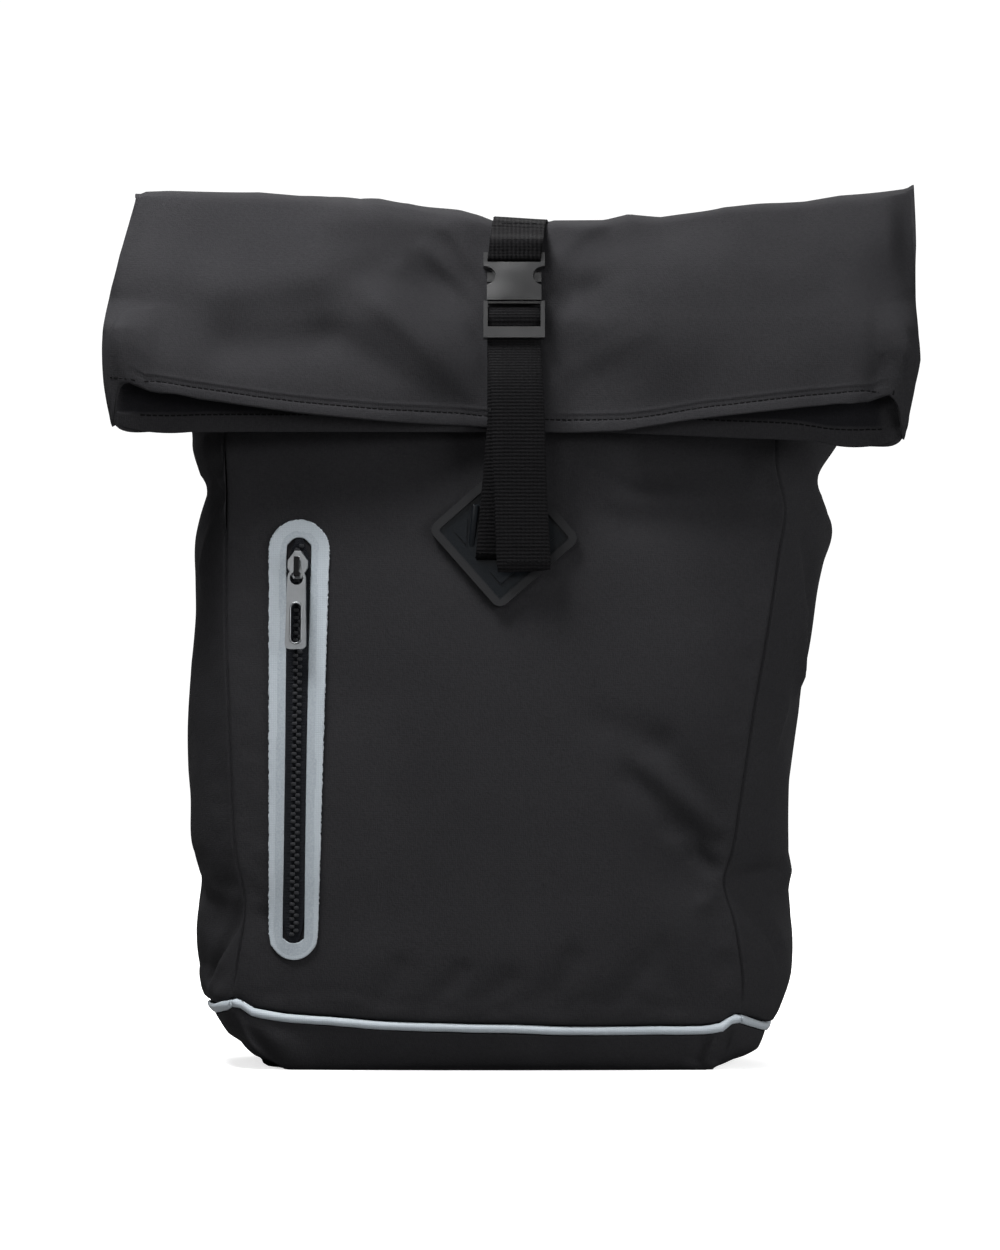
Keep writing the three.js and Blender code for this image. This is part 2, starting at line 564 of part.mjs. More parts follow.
// Plate drawn in x and z and standing between two depths
function plate(shape, front, back, curveSegments = 4) {
  const geometry = new THREE.ExtrudeGeometry(shape, { depth: back - front, bevelEnabled: false, curveSegments });
  geometry.rotateX(Math.PI / 2);
  geometry.translate(0, back, 0);
  return geometry;
}

function roundedOutline(halfWidth, halfHeight, radius, Path = THREE.Shape) {
  const outline = new Path();
  outline.moveTo(-halfWidth + radius, -halfHeight);
  outline.lineTo(halfWidth - radius, -halfHeight);
  outline.absarc(halfWidth - radius, -halfHeight + radius, radius, -Math.PI / 2, 0);
  outline.lineTo(halfWidth, halfHeight - radius);
  outline.absarc(halfWidth - radius, halfHeight - radius, radius, 0, Math.PI / 2);
  outline.lineTo(-halfWidth + radius, halfHeight);
  outline.absarc(-halfWidth + radius, halfHeight - radius, radius, Math.PI / 2, Math.PI);
  outline.lineTo(-halfWidth, -halfHeight + radius);
  outline.absarc(-halfWidth + radius, -halfHeight + radius, radius, Math.PI, 1.5 * Math.PI);
  return outline;
}

// The front panel as a smooth surface, for what is sewn onto it
function frontPoint(x, z, lift) {
  const place = (px, pz) => {
    const row = readTable(BODY, "z", pz);
    const across = (px - row.seamLeft) / (row.seamRight - row.seamLeft);
    const y = ringPoint("front", across, row).y - bodyFold("front", across, pz);
    return vec(px, y, pz);
  };
  const toRight = place(x + 2, z).sub(place(x - 2, z));
  const toTop = place(x, z + 2).sub(place(x, z - 2));
  const outward = toRight.cross(toTop).normalize();
  return place(x, z).addScaledVector(outward, lift);
}

// A frame of directions on the front panel: x across, z up along a line, -y outward
function frontFrame(x, z, lift, upTo) {
  const at = frontPoint(x, z, lift);
  const outward = frontPoint(x, z, lift + 1).sub(at);
  const up = frontPoint(upTo.x, upTo.z, lift).sub(at);
  up.addScaledVector(outward, -up.dot(outward)).normalize();
  const right = up.clone().cross(outward);
  return new THREE.Matrix4().makeBasis(right, outward.negate(), up).setPosition(at);
}

// The zip's middle line and its places, z measured along the panel
const zipX = (z) => lerp(ZIP.bottomX, ZIP.topX, (z - ZIP.bottomZ) / (ZIP.topZ - ZIP.bottomZ));
const frameHalf = (z) =>
  lerp(ZIP_FRAME.outerBottom, ZIP_FRAME.outerTop, (z - ZIP.bottomZ) / (ZIP.topZ - ZIP.bottomZ));

// Stations round the zip's frame: outward offsets from the middle line, up the right side and down the left.
function zipLoop(inset) {
  const stations = [];
  const topZ = ZIP.topZ - ZIP_FRAME.outerTop;
  const bottomZ = ZIP.bottomZ + ZIP_FRAME.outerBottom;
  const arc = (z, radius, from) => {
    for (let i = 0; i <= ZIP.endSteps; i++) {
      const angle = from + (Math.PI * i) / ZIP.endSteps;
      stations.push({ x: zipX(z) + radius * Math.cos(angle), z: z + radius * Math.sin(angle) });
    }
  };
  const side = (sign, from, to) => {
    for (let i = 1; i < ZIP.steps; i++) {
      const z = lerp(from, to, i / ZIP.steps);
      stations.push({ x: zipX(z) + sign * (frameHalf(z) - inset), z });
    }
  };
  side(1, bottomZ, topZ);
  arc(topZ, ZIP_FRAME.outerTop - inset, 0);
  side(-1, topZ, bottomZ);
  arc(bottomZ, ZIP_FRAME.outerBottom - inset, Math.PI);
  return stations;
}

function zipFrameGeometry() {
  const outerLoop = zipLoop(0);
  const innerLoop = zipLoop(ZIP_FRAME.border);
  const top = ZIP_FRAME.lift + ZIP_FRAME.thick;
  const count = outerLoop.length;
  const points = outerLoop.flatMap((o, i) => {
    const n = innerLoop[i];
    return [
      frontPoint(o.x, o.z, ZIP_FRAME.lift),
      frontPoint(o.x, o.z, top),
      frontPoint(n.x, n.z, top),
      frontPoint(n.x, n.z, ZIP_FRAME.lift),
    ];
  });
  const faces = [];
  for (let i = 0; i < count; i++) {
    const next = (i + 1) % count;
    for (let k = 0; k < 4; k++) {
      const l = (k + 1) % 4;
      faces.push([i * 4 + k, next * 4 + k, next * 4 + l, i * 4 + l]);
    }
  }
  return solidOf(points, faces);
}

// Strip down the zip's middle line, narrowing to round ends
function zipStrip(halfAt, fromZ, toZ, steps, lift, thick) {
  const grid = (height) =>
    Array.from({ length: steps + 1 }, (unused, i) => {
      const z = lerp(fromZ, toZ, i / steps);
      const half = halfAt(z);
      return [-1, 0, 1].map((u) => frontPoint(zipX(z) + u * half, z, height));
    });
  return sheetOf(grid(lift + thick), grid(lift));
}

function zipTapeGeometry() {
  const inset = ZIP_FRAME.border + ZIP_TAPE.gap;
  const low = ZIP.bottomZ + inset;
  const high = ZIP.topZ - inset;
  const half = (z) => {
    const full = frameHalf(z) - inset;
    const toEnd = Math.min(z - low, high - z);
    return Math.max(toEnd >= full ? full : Math.sqrt(full * full - Math.pow(full - toEnd, 2)) * 0.94, 1.2);
  };
  return zipStrip(half, low + 0.3, high - 0.3, ZIP_TAPE.steps, ZIP_TAPE.lift, ZIP_TAPE.thick);
}

// Slider on the chain, with the bridge that holds the puller
const sliderZ = ZIP.topZ - SLIDER.fromTop;
const aboveSlider = { x: zipX(sliderZ + 6), z: sliderZ + 6 };
const sliderFrame = frontFrame(zipX(sliderZ), sliderZ, SLIDER.lift + SLIDER.thick, aboveSlider);

function sliderGeometry() {
  const half = SLIDER.width / 2;
  const long = SLIDER.length / 2;
  const body = new THREE.Shape();
  body.moveTo(-half * 0.42, -long);
  body.lineTo(half * 0.42, -long);
  body.lineTo(half, -long * 0.2);
  body.lineTo(half, long * 0.3);
  body.lineTo(half * 0.3, long);
  body.lineTo(-half * 0.3, long);
  body.lineTo(-half, long * 0.3);
  body.lineTo(-half, -long * 0.2);
  body.closePath();
  const arch = block([-BRIDGE.width / 2, BRIDGE.width / 2], [-BRIDGE.height, -0.01], [BRIDGE.bottom, BRIDGE.top]);
  const slot = block(
    [-BRIDGE.width, BRIDGE.width],
    [-BRIDGE_SLOT.height, 1],
    [BRIDGE_SLOT.bottom, BRIDGE_SLOT.top]
  );
  const bridge = arch.subtract(slot);
  const floor = toManifold(plate(body, 0, SLIDER.thick));
  const feet = [
    block([-BRIDGE.width / 2, BRIDGE.width / 2], [-1, 0.5], [BRIDGE.bottom, BRIDGE_SLOT.bottom]),
    block([-BRIDGE.width / 2, BRIDGE.width / 2], [-1, 0.5], [BRIDGE_SLOT.top, BRIDGE.top]),
  ];
  return fromManifold(floor.add(bridge).add(feet[0]).add(feet[1])).applyMatrix4(sliderFrame);
}

function pullerGeometry() {
  const eyeOuter = PULLER.topWidth / 2;
  const eyeZ = PULLER_PIVOT_Z + PULLER_EYE.bar / 2 - (PULLER_EYE.radius + PULLER_EYE.bar);
  const topZ = eyeZ + PULLER_EYE.radius + PULLER_EYE.bar;
  const endZ = topZ - PULLER.length;
  const endHalf = PULLER.endWidth / 2;
  const c = PULLER.corner;
  const outline = new THREE.Shape();
  outline.moveTo(-endHalf + c, endZ);
  outline.lineTo(endHalf - c, endZ);
  outline.absarc(endHalf - c, endZ + c, c, -Math.PI / 2, 0);
  outline.lineTo(eyeOuter, eyeZ);
  outline.absarc(0, eyeZ, eyeOuter, 0, Math.PI);
  outline.lineTo(-endHalf, endZ + c);
  outline.absarc(-endHalf + c, endZ + c, c, Math.PI, 1.5 * Math.PI);
  const eye = new THREE.Path();
  eye.absarc(0, eyeZ, PULLER_EYE.radius, 0, 2 * Math.PI);
  const windowZ = endZ + PULLER_WINDOW.fromEnd + PULLER_WINDOW.length / 2;
  const half = PULLER_WINDOW.width / 2;
  const straight = PULLER_WINDOW.length / 2 - half;
  const window = new THREE.Path();
  window.absarc(0, windowZ + straight, half, 0, Math.PI);
  window.absarc(0, windowZ - straight, half, Math.PI, 2 * Math.PI);
  outline.holes.push(eye, window);
  const front = -PULLER.standOff - PULLER.thick;
  return plate(outline, front, front + PULLER.thick, 8).applyMatrix4(sliderFrame);
}

// Anchor patch: a thin field with a raised rim, corner marks and the slot that the load strap runs into
const patchTurn = THREE.MathUtils.degToRad(PATCH.turn);
const patchFrame = frontFrame(PATCH.x, PATCH.z, PATCH.lift, {
  x: PATCH.x + 6 * Math.sin(patchTurn),
  z: PATCH.z + 6 * Math.cos(patchTurn),
});

function patchGeometry() {
  const half = PATCH.side / 2;
  const field = plate(roundedOutline(half, half, PATCH.corner), -PATCH.field, 0).rotateY(Math.PI / 4);
  const ring = roundedOutline(half, half, PATCH.corner);
  ring.holes.push(roundedOutline(half - PATCH.rimWidth, half - PATCH.rimWidth, PATCH.corner / 3, THREE.Path));
  const rim = plate(ring, -PATCH.rim, -PATCH.field / 2).rotateY(Math.PI / 4);
  let solid = toManifold(field).add(toManifold(rim));
  const slot = block(
    [-PATCH_SLOT.width / 2, PATCH_SLOT.width / 2],
    [-10, 10],
    [PATCH_SLOT.z - PATCH_SLOT.height / 2, PATCH_SLOT.z + PATCH_SLOT.height / 2]
  ).rotate([0, -PATCH.turn, 0]);
  for (const [sx, sz] of [[-1, 0], [1, 0], [0, -1], [0, 1]]) {
    const size = PATCH_MARK.size;
    const mark = new THREE.Shape();
    const tip = { x: sx * PATCH_MARK.out, z: sz * PATCH_MARK.out };
    const side = { x: sz, z: sx };
    mark.moveTo(tip.x, tip.z);
    mark.lineTo(tip.x - sx * size + side.x * size, tip.z - sz * size + side.z * size);
    mark.lineTo(tip.x - sx * size - side.x * size, tip.z - sz * size - side.z * size);
    mark.closePath();
    solid = solid.add(toManifold(plate(mark, -PATCH.field - PATCH_MARK.raise, -PATCH.field / 2)));
  }
  return fromManifold(solid.subtract(slot)).applyMatrix4(patchFrame);
}

// A smooth place on the outer sheet, the row being a number between the whole rows of the path
function outerPlace(x, at) {
  const onRow = (i) => {
    let low = 0;
    let high = 1;
    for (let n = 0; n < 30; n++) {
      const middle = (low + high) / 2;
      if (rollPlace(middle, true, i, { panel: "back", across: 0.5 }).x < x) low = middle;
      else high = middle;
    }
    return rollPlace(low, true, i, { panel: "back", across: 1 - low });
  };
  const i = Math.min(Math.floor(at), ROLL.length - 2);
  return onRow(i).lerp(onRow(i + 1), at - i);
}

function outerLifted(x, at, lift) {
  const along = outerPlace(x, Math.min(at + 0.5, ROLL.length - 1)).sub(outerPlace(x, at - 0.5));
  const outward = along.clone().cross(vec(1, 0, 0)).normalize();
  return outerPlace(x, at).addScaledVector(outward, lift);
}

// Buckle standing on the flap: x across, z up the flap, -y outward, the origin where its halves meet
const buckleRow = FLAP_START + BUCKLE.down * FLAP.steps;
const buckleUp = outerPlace(BUCKLE.x, buckleRow - 1.4).sub(outerPlace(BUCKLE.x, buckleRow + 1.4)).normalize();
const buckleBack = buckleUp.clone().cross(vec(1, 0, 0));
const buckleFrame = new THREE.Matrix4()
  .makeBasis(vec(1, 0, 0), buckleBack, buckleUp)
  .setPosition(outerPlace(BUCKLE.x, buckleRow).addScaledVector(buckleBack, -BUCKLE.lift));
const onBuckle = (y, z) => vec(0, y, z).applyMatrix4(buckleFrame);

function femaleGeometry() {
  const half = FEMALE.width / 2;
  const waist = FEMALE.waist / 2;
  const mouth = FEMALE.mouthWidth / 2;
  const { shoulder, middle, neck } = FEMALE_NOTCH;
  const body = new THREE.Shape();
  body.moveTo(-mouth, 0);
  body.lineTo(mouth, 0);
  body.lineTo(mouth, shoulder - 1);
  body.quadraticCurveTo(waist, shoulder + 0.6, waist, middle);
  body.quadraticCurveTo(waist, neck, half, neck + 0.8);
  body.lineTo(half, FEMALE.height);
  body.lineTo(-half, FEMALE.height);
  body.lineTo(-half, neck + 0.8);
  body.quadraticCurveTo(-waist, neck, -waist, middle);
  body.quadraticCurveTo(-waist, shoulder + 0.6, -mouth, shoulder - 1);
  body.closePath();
  let solid = toManifold(plate(body, FEMALE.front, FEMALE.back, 5));
  const hollow = TONGUE.half + 0.4;
  const slot = block(
    [-TONGUE.slot, TONGUE.slot],
    [TONGUE.middleY - hollow, TONGUE.middleY + hollow],
    [-1, TONGUE.reach + 0.6]
  );
  solid = solid.subtract(slot);
  for (const sign of [-1, 1]) {
    const x = [sign * half, sign * (half - FEMALE_LOOP.ear)].sort((a, b) => a - b);
    solid = solid.add(block(x, [FEMALE_LOOP.barFront, FEMALE_LOOP.barBack], [FEMALE.height - 1, FEMALE_LOOP.top]));
  }
  const bar = block(
    [-half, half],
    [FEMALE_LOOP.barFront, FEMALE_LOOP.barBack],
    [FEMALE_LOOP.top - FEMALE_LOOP.bar, FEMALE_LOOP.top]
  );
  return fromManifold(solid.add(bar)).applyMatrix4(buckleFrame);
}

function maleGeometry() {
  const half = LADDER.width / 2;
  const inside = half - LADDER.rail;
  const depth = [LADDER.front, LADDER.back];
  const sides = [LADDER.end, -0.3];
  let solid = block([-half, -inside], depth, sides).add(block([inside, half], depth, sides));
  solid = solid.add(block([-half, half], [LADDER.front + 0.8, LADDER.back], [LADDER.railTop, -0.3]));
  solid = solid.add(block([-half, half], [LADDER_MID.front, LADDER.back], [LADDER_MID.bottom, LADDER_MID.top]));
  solid = solid.add(block([-half, half], [LADDER.front, LADDER_END.back], [LADDER.end, LADDER_END.top]));
  const flat = [TONGUE.middleY - TONGUE.half, TONGUE.middleY + TONGUE.half];
  solid = solid.add(block([-TONGUE.stem, TONGUE.stem], flat, [-1, TONGUE.reach - 3]));
  for (const sign of [-1, 1]) {
    const arm = [sign * TONGUE_ARM.inside, sign * TONGUE_ARM.outside].sort((a, b) => a - b);
    const pad = [sign * TONGUE_ARM.inside, sign * TONGUE_ARM.pad].sort((a, b) => a - b);
    solid = solid.add(block(arm, flat, [-1, TONGUE.reach - 1]));
    solid = solid.add(block(pad, flat, [FEMALE_NOTCH.shoulder + 1.2, TONGUE.reach - 1.5]));
  }
  return fromManifold(solid).applyMatrix4(buckleFrame);
}

// Upper webbing: sewn down behind the ridge, over it, round the bar of the female half and back up under itself
function strapUpperGeometry() {
  const half = WEBBING.thick / 2;
  const seat = half + WEBBING.gap + 0.3;
  const bar = { bottom: FEMALE_LOOP.top - FEMALE_LOOP.bar, front: FEMALE_LOOP.barFront, back: FEMALE_LOOP.barBack };
  const front = bar.front - WEBBING.gap - half;
  const back = bar.back + WEBBING.gap + half;
  const points = [];
  for (let at = STRAP_BEHIND; at <= FLAP_START; at += 0.5) {
    const doubled = (WEBBING.thick + WEBBING.gap) * smooth(at, FLAP_START - 3, FLAP_START);
    points.push(outerLifted(lerp(STRAP_TOP_X, BUCKLE.x, smooth(at, 4, FLAP_START)), at, seat + doubled));
  }
  points.push(onBuckle(front - 0.3, FEMALE_LOOP.top + 6));
  points.push(onBuckle(front, bar.bottom + 1.4));
  points.push(onBuckle(front + 0.4, bar.bottom - 0.9));
  points.push(onBuckle((front + back) / 2, bar.bottom - half - WEBBING.gap));
  points.push(onBuckle(back - 0.4, bar.bottom - 0.9));
  points.push(onBuckle(back, bar.bottom + 1.4));
  points.push(onBuckle(back - 0.2, FEMALE_LOOP.top + 2));
  points.push(onBuckle(back - 0.5, FEMALE_LOOP.top + 9));
  const path = pathThrough(points, 2);
  return bandOf(path, path.map(() => WEBBING.width), WEBBING.thick, FLAT_BAND);
}

// Lower webbing: from the patch's slot up to the ladder, over its middle bar and down again as the free tail
function strapLowerGeometry() {
  const half = WEBBING.thick / 2;
  const gap = WEBBING.gap;
  const loadY = LADDER.back + gap + half;
  const tailY = LADDER_END.back + gap + half;
  const frontY = LADDER_MID.front - gap - half;
  const intoSlot = (y, z) => vec(0, y, PATCH_SLOT.z + z).applyMatrix4(patchFrame);
  const hemRow = ROLL.length - 1;
  const points = [
    intoSlot(-0.9, 0),
    intoSlot(-2.6, 0.5),
    intoSlot(-3.9, 4),
    ...[0.1, 0.7, 1.3, 1.9, 2.5].map((up) => outerLifted(BUCKLE.x, hemRow - up, half + gap + 0.5)),
    onBuckle(loadY, LADDER.end),
    onBuckle(loadY, LADDER_MID.bottom),
    onBuckle(loadY, LADDER_MID.top - 0.6),
    onBuckle(loadY - 0.6, LADDER_MID.top + half + 0.2),
    onBuckle((loadY + frontY) / 2, LADDER_MID.top + half + gap + 0.15),
    onBuckle(frontY + 0.6, LADDER_MID.top + half + 0.2),
    onBuckle(frontY, LADDER_MID.top - 0.8),
    onBuckle(frontY, LADDER_MID.bottom + 0.9),
    onBuckle((frontY + tailY) / 2, (LADDER_MID.bottom + LADDER_END.top) / 2),
    onBuckle(tailY + 0.1, LADDER_END.top - 0.9),
    onBuckle(tailY + 0.1, LADDER_END.top - 3),
    onBuckle(tailY, LADDER.end),
  ];
  const hem = outerLifted(BUCKLE.x, hemRow - 0.2, 0);
  const end = vec(TAIL.endX, frontPoint(PATCH.x, TAIL.endZ, 0).y - PATCH.rim - TAIL.standOff, TAIL.endZ);
  points.push(vec(BUCKLE.x + 1.4, hem.y - 6.5, hem.z + 14));
  points.push(vec(lerp(BUCKLE.x, TAIL.endX, 0.6), lerp(hem.y - 7, end.y, 0.45), lerp(hem.z, end.z, 0.45)));
  points.push(end);
  const path = pathThrough(points, 2);
  return bandOf(path, path.map(() => WEBBING.width), WEBBING.thick, FLAT_BAND);
}

// Piping, a round cord along the seam line of one panel, bent at the same columns as the panels beside it
function pipingGeometry(panel, columns) {
  const points = Array.from({ length: columns + 1 }, (unused, i) => {
    const across = i / columns;
    const z = pipingHeight(panel, across);
    const row = readTable(BODY, "z", z);
    const here = ringPoint(panel, across, row);
    const next = ringPoint(panel, Math.min(across + 0.02, 1), row);
    const last = ringPoint(panel, Math.max(across - 0.02, 0), row);
    const inward = new THREE.Vector2(last.y - next.y, next.x - last.x).setLength(PIPING.sunk);
    return vec(here.x + inward.x, here.y + inward.y, z);
  });
  const direction = (i, j) => points[j].clone().sub(points[i]).normalize();
  points[0].addScaledVector(direction(0, 1), PIPING.trim);
  points[columns].addScaledVector(direction(columns, columns - 1), PIPING.trim);
  const path = points.map((at, i) => ({
    at,
    along: direction(Math.max(i - 1, 0), Math.min(i + 1, columns)),
    wide: vec(0, 0, 1),
  }));
  const round = Array.from({ length: PIPING.sides }, (unused, k) => {
    const angle = (-2 * Math.PI * k) / PIPING.sides;
    return [2 * PIPING.radius * Math.cos(angle), Math.sin(angle)];
  });
  return bandOf(path, path.map(() => 1), 2 * PIPING.radius, round);
}

// Carrying straps, mirrored for the left side
function mirrored(geometry, side) {
  if (side > 0) return geometry;
  geometry.scale(-1, 1, 1);
  const index = geometry.index.array;
  for (let i = 0; i < index.length; i += 3) [index[i], index[i + 1]] = [index[i + 1], index[i]];
  return geometry;
}

const shoulderPath = pathThrough(SHOULDER_PATH.map((p) => vec(p.x, p.y, p.z)), 2);

function shoulderGeometry(side) {
  const widths = shoulderPath.map((unused, i) => {
    const before = SHOULDER_PATH[Math.floor(i / 2)].width;
    const after = SHOULDER_PATH[Math.ceil(i / 2)].width;
    return (before + after) / 2;
  });
  const flat = SHOULDER.flat;
  const edge = SHOULDER.edge;
  const rounded = [[-1, -edge], [-1, edge], [-flat, 1], [flat, 1], [1, edge], [1, -edge], [flat, -1], [-flat, -1]];
  return mirrored(bandOf(shoulderPath, widths, SHOULDER.thick, rounded), side);
}

// Where a tab leaves the back seam, and the way it points, for a side counted as positive
function tabPlace(side) {
  const row = readTable(BODY, "z", TAB.z);
  const x = (side > 0 ? row.right : -row.left) - BACK_SEAM_IN;
  const out = vec(side > 0 ? TAB.right : TAB.left, TAB.back, 0);
  return { root: vec(x, row.back - BACK_CORNER_IN, TAB.z), long: out.length(), out: out.normalize() };
}

function tabGeometry(side) {
  const { root, long, out } = tabPlace(side);
  const shape = new THREE.Shape();
  shape.moveTo(TAB.seat, -TAB.height / 2);
  shape.lineTo(long, -TAB.tip / 2);
  shape.lineTo(long, TAB.tip / 2);
  shape.lineTo(TAB.seat, TAB.height / 2);
  shape.closePath();
  const inward = vec(0, 0, 1).cross(out);
  const frame = new THREE.Matrix4().makeBasis(out, inward, vec(0, 0, 1)).setPosition(root);
  return mirrored(fromManifold(toManifold(plate(shape, -TAB.thick / 2, TAB.thick / 2))).applyMatrix4(frame), side);
}

// Webbing from the padded strap's end to the inner face of its tab
function lowerWebbingGeometry(side) {
  const { root, long, out } = tabPlace(side);
  const end = shoulderPath[shoulderPath.length - 1];
  const seat = (TAB.thick + LOWER_WEBBING.thick) / 2 + WEBBING.gap;
  const onTab = root.clone().addScaledVector(out, long * 0.56).addScaledVector(vec(0, 0, 1).cross(out), seat);
  const points = [
    end.at.clone().addScaledVector(end.along, 0.4),
    end.at.clone().addScaledVector(end.along, 8),
    onTab.clone().add(vec(-7, 3.5, 17)),
    onTab.clone().add(vec(-1.5, 0.9, 8)),
    onTab,
    onTab.clone().add(vec(0, 0, -8)),
  ];
  const path = pathThrough(points, 3, vec(1, 0, 0), out);
  return mirrored(bandOf(path, path.map(() => LOWER_WEBBING.width), LOWER_WEBBING.thick, FLAT_BAND), side);
}

const MATERIALS = {
  softshell: { color: 0x26272a, roughness: 0.85, metalness: 0 },
  reflective: { color: 0xa4a9b2, roughness: 0.45, metalness: 0 },
  webbing: { color: 0x1c1c1e, roughness: 0.8, metalness: 0 },
  plastic: { color: 0x18181a, roughness: 0.4, metalness: 0 },
  rubber: { color: 0x1e1e20, roughness: 0.65, metalness: 0 },
  gunmetal: { color: 0x8d8f92, roughness: 0.35, metalness: 0.9 },
};

const backpack = new THREE.Group();
function addNode(name, geometry, material) {
  const mesh = new THREE.Mesh(geometry, new THREE.MeshStandardMaterial(MATERIALS[material]));
  mesh.name = name;
  backpack.add(mesh);
}

const lastRow = shellOuter.length - 1;
addNode("front_panel", panelGeometry(START.front, COLUMNS.front, 0, SEAM_ROW, true, false), "softshell");
addNode("gusset_right", panelGeometry(START.right, COLUMNS.side, 0, SEAM_ROW, true, false), "softshell");
addNode("back_panel", panelGeometry(START.back, COLUMNS.back, 0, SEAM_ROW, true, false), "softshell");
addNode("gusset_left", panelGeometry(START.left, COLUMNS.side, 0, SEAM_ROW, true, false), "softshell");
addNode("base", baseGeometry(), "softshell");
addNode("roll_top_back", panelGeometry(FIRST_OUTER, HALF, SEAM_ROW, lastRow, false, true), "softshell");
addNode("roll_top_front", panelGeometry(FIRST_OUTER + HALF, HALF, SEAM_ROW, lastRow, false, true), "softshell");
addNode("piping_front", pipingGeometry("front", COLUMNS.front), "reflective");
addNode("piping_right", pipingGeometry("right", COLUMNS.side), "reflective");
addNode("piping_left", pipingGeometry("left", COLUMNS.side), "reflective");
addNode("zip_frame", zipFrameGeometry(), "reflective");
addNode("zip_tape", zipTapeGeometry(), "webbing");
addNode(
  "zip_chain",
  zipStrip(
    () => ZIP_CHAIN.width / 2,
    ZIP.bottomZ + ZIP_CHAIN.inset,
    ZIP.topZ - ZIP_CHAIN.inset,
    ZIP_CHAIN.steps,
    ZIP_CHAIN.lift,
    ZIP_CHAIN.thick
  ),
  "plastic"
);
addNode("zip_slider", sliderGeometry(), "gunmetal");
addNode("zip_puller", pullerGeometry(), "gunmetal");
addNode("anchor_patch", patchGeometry(), "rubber");
addNode("strap_upper", strapUpperGeometry(), "webbing");
addNode("buckle_female", femaleGeometry(), "plastic");
addNode("buckle_male", maleGeometry(), "plastic");
addNode("strap_lower", strapLowerGeometry(), "webbing");
for (const [side, name] of [[1, "right"], [-1, "left"]]) {
  addNode(`shoulder_strap_${name}`, shoulderGeometry(side), "softshell");
  addNode(`strap_webbing_${name}`, lowerWebbingGeometry(side), "webbing");
  addNode(`strap_tab_${name}`, tabGeometry(side), "softshell");
}

export default backpack;
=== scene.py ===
import math

import bpy
import numpy as np
from mathutils import Matrix, Vector, noise


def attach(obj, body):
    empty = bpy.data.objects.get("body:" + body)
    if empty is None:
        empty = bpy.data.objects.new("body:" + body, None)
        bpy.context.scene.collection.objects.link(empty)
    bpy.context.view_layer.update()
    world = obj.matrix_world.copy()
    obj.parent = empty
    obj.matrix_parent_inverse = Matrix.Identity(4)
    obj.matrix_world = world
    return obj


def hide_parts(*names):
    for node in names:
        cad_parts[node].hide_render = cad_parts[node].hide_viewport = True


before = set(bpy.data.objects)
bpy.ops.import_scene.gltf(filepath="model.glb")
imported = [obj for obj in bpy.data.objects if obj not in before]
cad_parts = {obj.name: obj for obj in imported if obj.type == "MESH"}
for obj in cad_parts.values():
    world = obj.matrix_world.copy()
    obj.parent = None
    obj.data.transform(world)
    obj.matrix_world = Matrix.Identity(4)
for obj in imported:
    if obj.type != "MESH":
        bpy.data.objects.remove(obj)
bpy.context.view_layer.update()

# Studio: a pale floor in a white surround, with a soft key light above on the left, a wide fill on the right,
# a small light in front on the left for glints, and a light behind that keeps the floor white.
# The camera looks almost level from straight in front, so far away that the bag shows little perspective.
for left_over in ("Cube", "Light", "Camera"):
    if left_over in bpy.data.objects:
        bpy.data.objects.remove(bpy.data.objects[left_over])

mm = 0.001
view_width = 500 * mm
sensor_width = 36
view_distance = 4.5
view_height = math.radians(2)
aim = Vector((0, -30 * mm, 221.5 * mm))
eye = aim + view_distance * Vector((0, -math.cos(view_height), math.sin(view_height)))
bpy.ops.object.camera_add(location=eye, rotation=(math.pi / 2 - view_height, 0, 0))
camera = bpy.context.object
camera.data.sensor_fit = "HORIZONTAL"
camera.data.sensor_width = sensor_width
camera.data.lens = sensor_width * view_distance / view_width
camera.data.clip_end = 50
bpy.context.scene.camera = camera

studio_lights = [
    {"name": "key_light", "place": (-0.35, -0.33, 1.1), "size": 0.35, "power": 17.5},
    {"name": "rear_light", "place": (0, 1.5, 2.0), "size": 1.6, "power": 45},
    {"name": "front_fill_light", "place": (2.1, -1.6, 0.75), "size": 1.4, "power": 39},
    {"name": "glint_light", "place": (-0.5, -1.65, 0.85), "size": 0.45, "power": 5},
]
for row in studio_lights:
    towards = aim - Vector(row["place"])
    turned = towards.to_track_quat("-Z", "Y").to_euler()
    bpy.ops.object.light_add(type="AREA", location=row["place"], rotation=turned)
    light = bpy.context.object
    light.name = row["name"]
    light.data.size = row["size"]
    light.data.energy = row["power"]

surround = bpy.data.worlds.new("white_surround")
surround.use_nodes = True
bpy.context.scene.world = surround
surround_light = surround.node_tree.nodes["Background"]
surround_light.inputs["Color"].default_value = (1, 1, 1, 1)
bpy.context.scene.view_settings.view_transform = "Standard"


